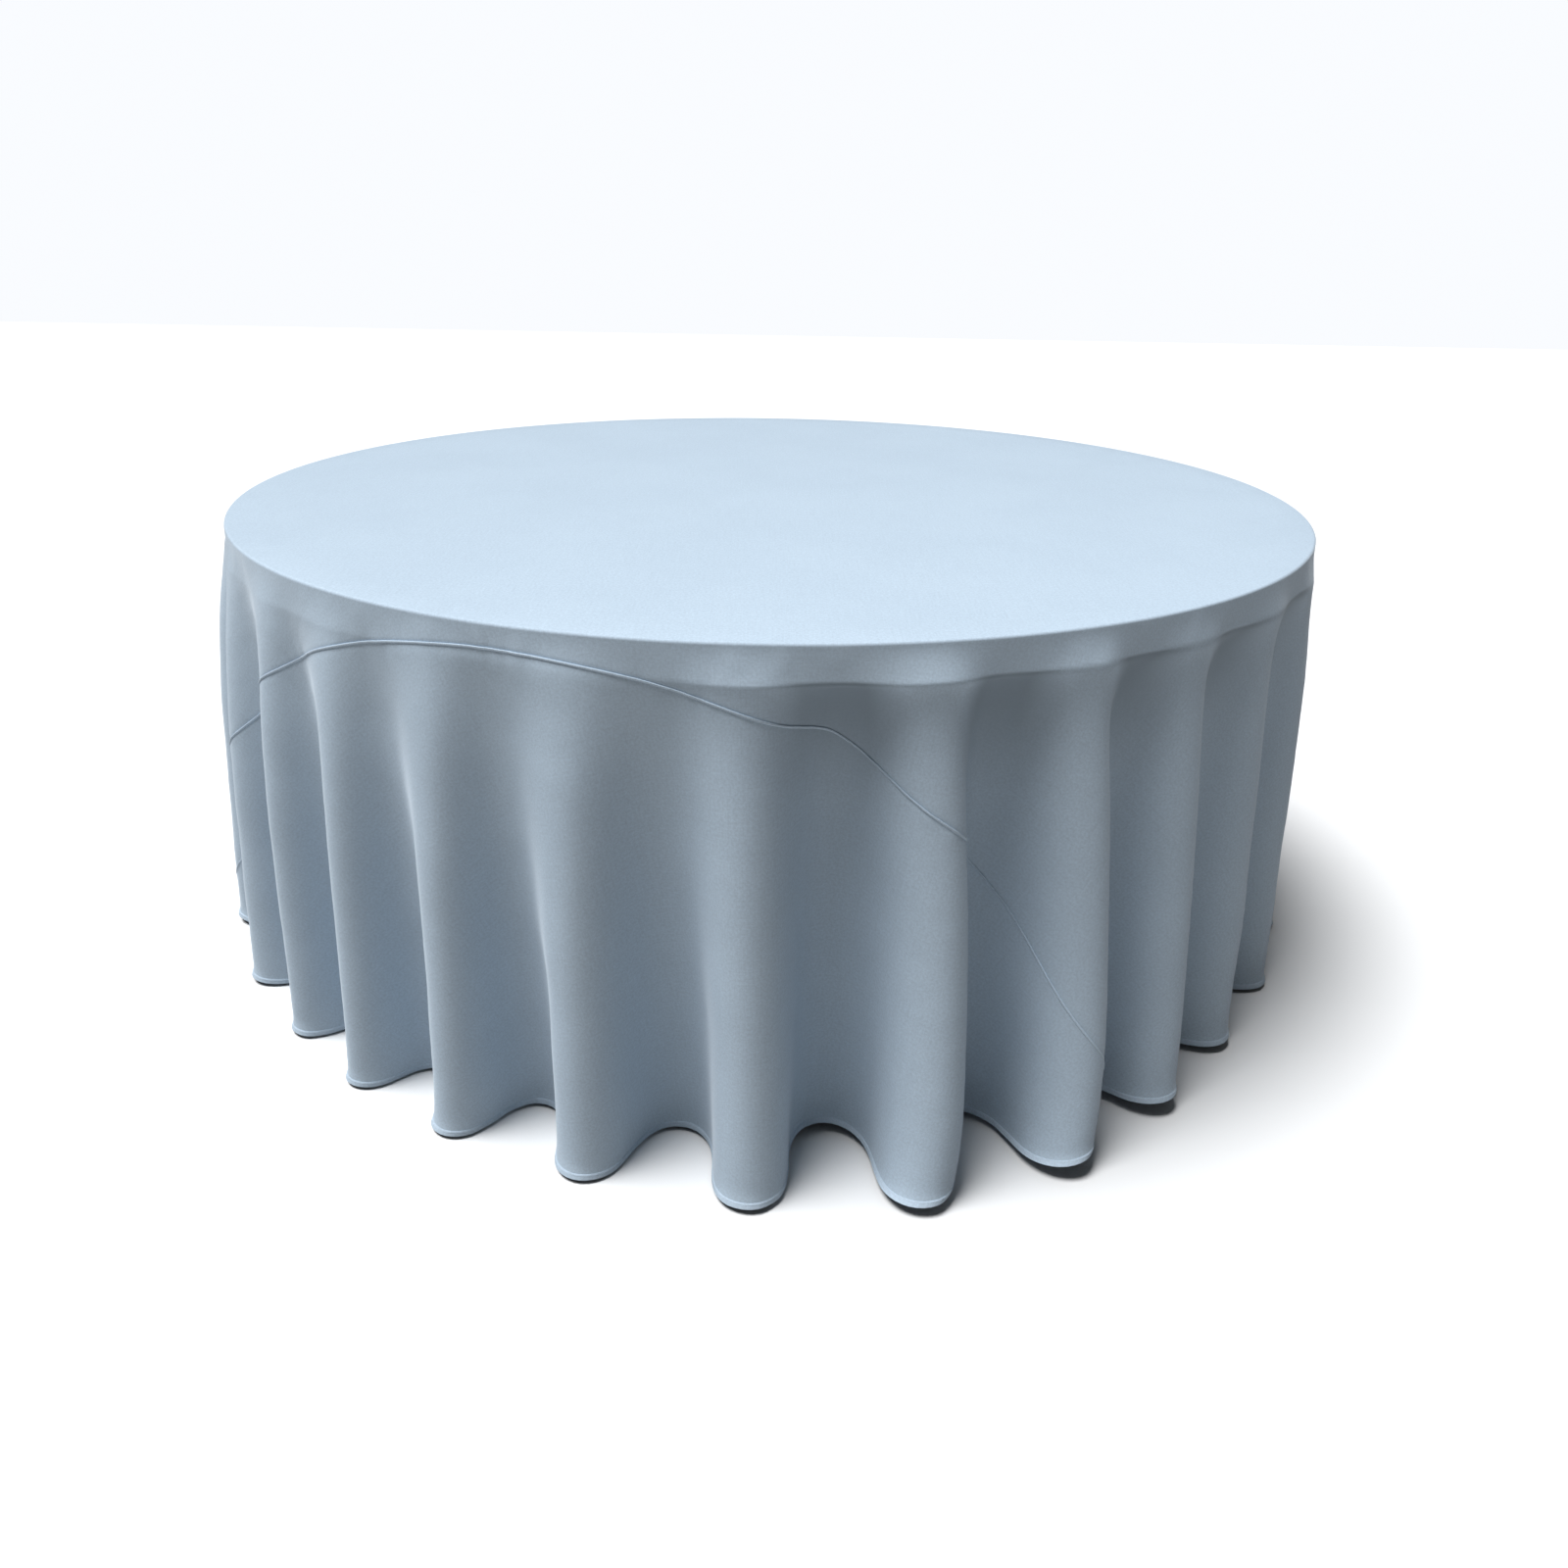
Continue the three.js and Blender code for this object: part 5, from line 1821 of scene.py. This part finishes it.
@dataclass
class LegFrame(Hardware):
    """One folding leg frame: hinge tube, two splayed legs, cross bar, stay ear, plugs and feet."""

    side: Side = Side.LEFT
    bead_radius: float = 2.2 * MM
    ear_half: float = 12.5 * MM
    ear_thickness: float = 4 * MM
    bar_gap: float = 0.3 * MM
    pin_hole: float = 4 * MM
    foot_radius: float = 15.5 * MM
    foot_grip: float = 13.0 * MM
    foot_rise: float = 26 * MM
    foot_depth: float = 12 * MM
    foot_gap: float = 0.3 * MM
    rib_depth: float = 0.7 * MM

    def weld_bead(self, name: str, at: Vector, way: Vector, radius: float) -> Piece:
        """Builds a lumpy ring of weld where one tube meets another."""
        ring = []
        for angle in np.radians(np.linspace(-180, 150, 12)):
            out = radius + self.bead_radius * (0.45 * math.cos(angle) + 0.2)
            ring.append((out, self.bead_radius * 0.5 * math.sin(angle)))
        bead = lathe(name, ring, facing(at, way, ALONG_Z), 48, closed=True)
        for vertex in bead.data.vertices:
            turn = math.atan2((vertex.co - at).z, (vertex.co - at).x)
            vertex.co += (vertex.co - at).normalized() * 0.25 * MM * math.sin(17 * turn)
        return bead

    def bar(self) -> None:
        """Builds the cross bar with a weld at each end."""
        node = f"{self.side.word}_cross_bar"
        pipe, rod = self.tube(node, ALONG_Y)
        ends = [rod.centre + rod.way * (sign * (rod.half - 0.6 * MM)) for sign in (-1, 1)]
        beads = [self.weld_bead(f"{node}_bead", end, rod.way, rod.outer) for end in ends]
        self.fix(merged(f"{node}_welded", [pipe, *beads]), node, "frame_paint")

    def hinge_tube(self) -> None:
        """Builds the hinge tube with a weld over each leg."""
        node = f"{self.side.word}_hinge_tube"
        pipe, rod = self.tube(node, ALONG_Y)
        beads = []
        for end in End:
            leg = Rod.measure(self.points(f"{self.side.word}_{end.word}_leg"), ALONG_Z)
            top = leg.centre + leg.way * (leg.half - 0.4 * MM)
            beads.append(self.weld_bead(f"{node}_bead", top, leg.way, leg.outer))
        self.fix(merged(f"{node}_welded", [pipe, *beads]), node, "frame_paint")

    def ear(self) -> None:
        """Builds the ear on the cross bar that the lower stay turns on."""
        node = f"{self.side.word}_stay_ear"
        bar = Rod.measure(self.points(f"{self.side.word}_cross_bar"), ALONG_Y)
        centre, pin = middle(node), middle(f"{self.side.word}_lower_stay_pin")
        start = Vector((bar.centre.x, centre.y, bar.centre.z))
        reach = Vector((pin.x, centre.y, pin.z)) - start
        outline = arc((reach.length, 0), self.ear_half, -90, 90) + arc((0, 0), self.ear_half, 90, 270)
        bar_hole = arc((0, 0), bar.outer + self.bar_gap, 360, 10, 35)
        holes = [bar_hole, arc((reach.length, 0), self.pin_hole, 360, 15, 20)]
        place = facing(start, -ALONG_Y, reach)
        steel = plate(f"{node}_plate", outline, holes, self.ear_thickness, 0.5 * MM, place)
        self.fix(steel, node, "frame_paint")

    def foot(self, end: End, leg: Rod) -> None:
        """Builds a ribbed rubber foot, its sole cut level with the floor."""
        node = f"{self.side.word}_{end.word}_foot"
        outer, grip, rise = self.foot_radius, self.foot_grip, self.foot_rise
        corners = [(0.0, -self.foot_depth), (outer, -self.foot_depth), (outer, 4 * MM)]
        for rib in range(4):
            level = 6 * MM + rib * 4.4 * MM
            corners += [(outer, level), (outer - self.rib_depth, level + 0.8 * MM)]
            corners += [(outer - self.rib_depth, level + 1.6 * MM), (outer, level + 2.4 * MM)]
        corners += [(outer - 0.2 * MM, rise - 1 * MM), (outer - 1.1 * MM, rise)]
        corners += [(grip, rise), (grip, 0.0), (0.0, 0.0)]
        sole = leg.centre - leg.way * (leg.half + self.foot_gap)
        cup = lathe(f"{node}_cup", corners, facing(sole, leg.way, ALONG_X), 48)
        cut = bmesh.new()
        cut.from_mesh(cup.data)
        everything = [*cut.verts, *cut.edges, *cut.faces]
        bmesh.ops.bisect_plane(
            cut, geom=everything, plane_co=(0, 0, 0), plane_no=(0, 0, -1), clear_outer=True
        )
        bmesh.ops.holes_fill(cut, edges=[edge for edge in cut.edges if edge.is_boundary])
        cut.to_mesh(cup.data)
        cut.free()
        finish_shading(cup)
        self.fix(cup, node, "rubber")

    def build(self) -> None:
        """Builds the leg frame."""
        self.hinge_tube()
        self.bar()
        self.ear()
        for end in End:
            leg_node = f"{self.side.word}_{end.word}_leg"
            pipe, rod = self.tube(leg_node, ALONG_Z)
            self.fix(pipe, leg_node, "frame_paint")
            self.foot(end, rod)
            plug = f"{self.side.word}_{end.word}_tube_plug"
            self.rivet(f"{plug}_cap", plug, ALONG_Y, "rubber")


@dataclass
class FoldingStay(Hardware):
    """One folding stay: two flat links, their pins, and the knuckle rivet between them."""

    side: Side = Side.LEFT
    link_half: float = 8 * MM
    link_thickness: float = 4 * MM
    pin_hole: float = 4 * MM
    rounding: float = 0.7 * MM

    def link(self, part: str) -> None:
        """Builds one link, from its pin to the knuckle."""
        node = f"{self.side.word}_{part}_stay"
        level = middle(node).y
        pin, knuckle = middle(f"{node}_pin"), middle(f"{self.side.word}_knuckle_rivet")
        start = Vector((pin.x, level, pin.z))
        reach = Vector((knuckle.x, level, knuckle.z)) - start
        outline = arc((reach.length, 0), self.link_half, -90, 90) + arc((0, 0), self.link_half, 90, 270)
        holes = [arc((at, 0), self.pin_hole, 360, 15, 20) for at in (0.0, reach.length)]
        place = facing(start, -ALONG_Y, reach)
        bar = plate(f"{node}_bar", outline, holes, self.link_thickness, self.rounding, place)
        self.fix(bar, node, "frame_paint")

    def build(self) -> None:
        """Builds the stay."""
        for part in ("upper", "lower"):
            self.link(part)
            self.rivet(f"{self.side.word}_{part}_stay_pin_head", f"{self.side.word}_{part}_stay_pin", ALONG_Y)
        self.rivet(f"{self.side.word}_knuckle_rivet_head", f"{self.side.word}_knuckle_rivet", ALONG_Y)


@dataclass
class Finishes:
    """Every material, made once.

    Attributes:
        edge_low: the height of the table edge's lower side.
    """

    edge_low: float

    def __post_init__(self) -> None:
        """Makes the materials."""
        self.cloth = ClothFinish(
            "dusty blue polyester",
            colour=(0.495, 0.605, 0.715),
            shade=(0.48, 0.588, 0.697),
            edge_low=self.edge_low,
        ).build()
        self.cloth_edge = ClothFinish(
            "dusty blue folded edge",
            colour=(0.515, 0.625, 0.735),
            shade=(0.49, 0.60, 0.71),
            edge_low=self.edge_low,
            band_share=0.0,
            hollow_share=0.0,
        ).build()
        self.thread = ThreadFinish("blue sewing thread", (0.60, 0.70, 0.80)).build()
        walnut = WoodFinish(
            "walnut print laminate",
            pale=(0.35, 0.2, 0.1),
            deep=(0.22, 0.12, 0.055),
            figure=7,
            roughness=0.38,
            coat=0.3,
            relief=0.05 * MM,
        )
        birch = WoodFinish("birch plywood", (0.52, 0.35, 0.18), (0.42, 0.26, 0.12), 22, 0.62)
        timber = WoodFinish("stained timber", (0.40, 0.23, 0.10), (0.27, 0.14, 0.06), 30, 0.55, 0.1)
        vinyl = VinylFinish("pale grey vinyl", (0.55, 0.52, 0.46), (0.36, 0.34, 0.31))
        paint = PaintedSteelFinish(
            "hammered dark paint", colour=(0.033, 0.036, 0.04), fleck=(0.06, 0.065, 0.07)
        )
        zinc = ZincFinish("zinc plate", (0.62, 0.62, 0.6), (0.45, 0.44, 0.41))
        rubber = RubberFinish("black rubber", (0.008, 0.008, 0.008), (0.10, 0.095, 0.085))
        self.slots = {
            "laminate": walnut.build(),
            "plywood": birch.build(),
            "timber": timber.build(),
            "edge_band": vinyl.build(),
            "frame_paint": paint.build(),
            "zinc": zinc.build(),
            "rubber": rubber.build(),
        }

    def for_slot(self, slot: str) -> Material:
        """Returns the material of one of the table's slots."""
        return self.slots[slot]


# ------------------------------------------------------------------ studio


@dataclass
class Studio:
    """A plain pale floor, soft lights, and the camera."""

    camera_distance: float = 2.244
    camera_height: float = 1.187
    camera_tilt: float = 24.22
    camera_pan: float = 0.75
    camera_roll: float = 1.09
    lens: float = 28.2
    floor_half: float = 14.0
    floor_colour: Colour = (0.84, 0.85, 0.86)
    floor_bounce: Colour = (0.4, 0.39, 0.38)
    key_power: float = 4.5
    key_lean: float = 18.0
    key_from: float = -80.0
    key_softness: float = 30.0
    sky_strength: float = 0.06

    def add_floor(self) -> None:
        """Lays a large pale floor."""
        half = self.floor_half
        corners = np.array([[-half, -half, 0], [half, -half, 0], [half, half, 0], [-half, half, 0]])
        floor = make_object("studio_floor", corners, [(0, 1, 2, 3)], smooth=False)
        material, tree, shader = start_material("studio pale floor")
        place = tree.place()
        tree.put(shader, "Roughness", tree.fade(tree.noise(place, 3.0), 0.3, 0.7, 0.86, 0.94))
        seen = tree.add("ShaderNodeLightPath").outputs["Is Camera Ray"]
        tree.put(shader, "Base Color", tree.blend(seen, self.floor_bounce, self.floor_colour))
        shader.inputs["Specular IOR Level"].default_value = 0.1
        floor.data.materials.append(material)

    def add_sun(self, name: str, power: float, lean: float, side: float, softness: float) -> None:
        """Adds a broad distant light.

        Args:
            name: the light's name.
            power: its strength.
            lean: how far it leans from straight overhead, in degrees.
            side: the direction that it comes from, in degrees from the front, towards +X.
            softness: how wide it looks, in degrees.
        """
        data = bpy.data.lights.new(name, "SUN")
        data.energy = power
        data.angle = math.radians(softness)
        light = bpy.data.objects.new(name, data)
        lean, side = math.radians(lean), math.radians(side)
        source = Vector((math.sin(lean) * math.sin(side), -math.sin(lean) * math.cos(side), math.cos(lean)))
        light.rotation_mode = "QUATERNION"
        light.rotation_quaternion = source.to_track_quat("Z", "Y")
        bpy.context.scene.collection.objects.link(light)

    def add_world(self) -> None:
        """Fills the room with faint light, behind a plain pale backdrop."""
        world = bpy.data.worlds.new("studio world")
        world.use_nodes = True
        tree = Tree(world.node_tree)
        background = world.node_tree.nodes["Background"]
        seen = tree.add("ShaderNodeLightPath").outputs["Is Camera Ray"]
        background.inputs["Color"].default_value = (0.95, 0.97, 1.0, 1)
        tree.put(background, "Strength", tree.fade(seen, 0.0, 1.0, self.sky_strength, 1.0))
        bpy.context.scene.world = world
        bpy.context.scene.view_settings.view_transform = "Standard"

    def add_camera(self) -> None:
        """Puts the camera in front of the table, looking down at it."""
        pan, tilt = math.radians(self.camera_pan), math.radians(self.camera_tilt)
        roll = math.radians(self.camera_roll)
        forward = Vector((math.sin(pan) * math.cos(tilt), math.cos(pan) * math.cos(tilt), -math.sin(tilt)))
        level_right = Vector((math.cos(pan), -math.sin(pan), 0))
        level_up = level_right.cross(forward)
        right = math.cos(roll) * level_right + math.sin(roll) * level_up
        up = right.cross(forward)
        data = bpy.data.cameras.new("studio camera")
        data.sensor_width = 36.0
        data.lens = self.lens
        camera = bpy.data.objects.new("studio camera", data)
        turn = Matrix((right, up, -forward)).transposed().to_4x4()
        camera.matrix_world = Matrix.Translation((0, -self.camera_distance, self.camera_height)) @ turn
        bpy.context.scene.collection.objects.link(camera)
        bpy.context.scene.camera = camera

    def build(self) -> None:
        """Sets up the whole studio."""
        self.add_floor()
        self.add_world()
        self.add_camera()
        self.add_sun("soft key", self.key_power, self.key_lean, self.key_from, self.key_softness)


def main() -> None:
    """Loads the frame, then builds and dresses everything in order."""
    logging.basicConfig(level=logging.INFO, format="%(name)s: %(message)s")
    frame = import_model()
    Studio().build()
    band_low, band_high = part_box("edge_band")
    finishes = Finishes(edge_low=band_low.z)
    TableTop(frame, finishes).build()
    for side in Side:
        LegFrame(frame, finishes, side=side).build()
        FoldingStay(frame, finishes, side=side).build()
    drape = Drape(table_radius=band_high.x, table_top=band_high.z)
    Tablecloth(drape).build(finishes)


if __name__ == "__main__":
    main()
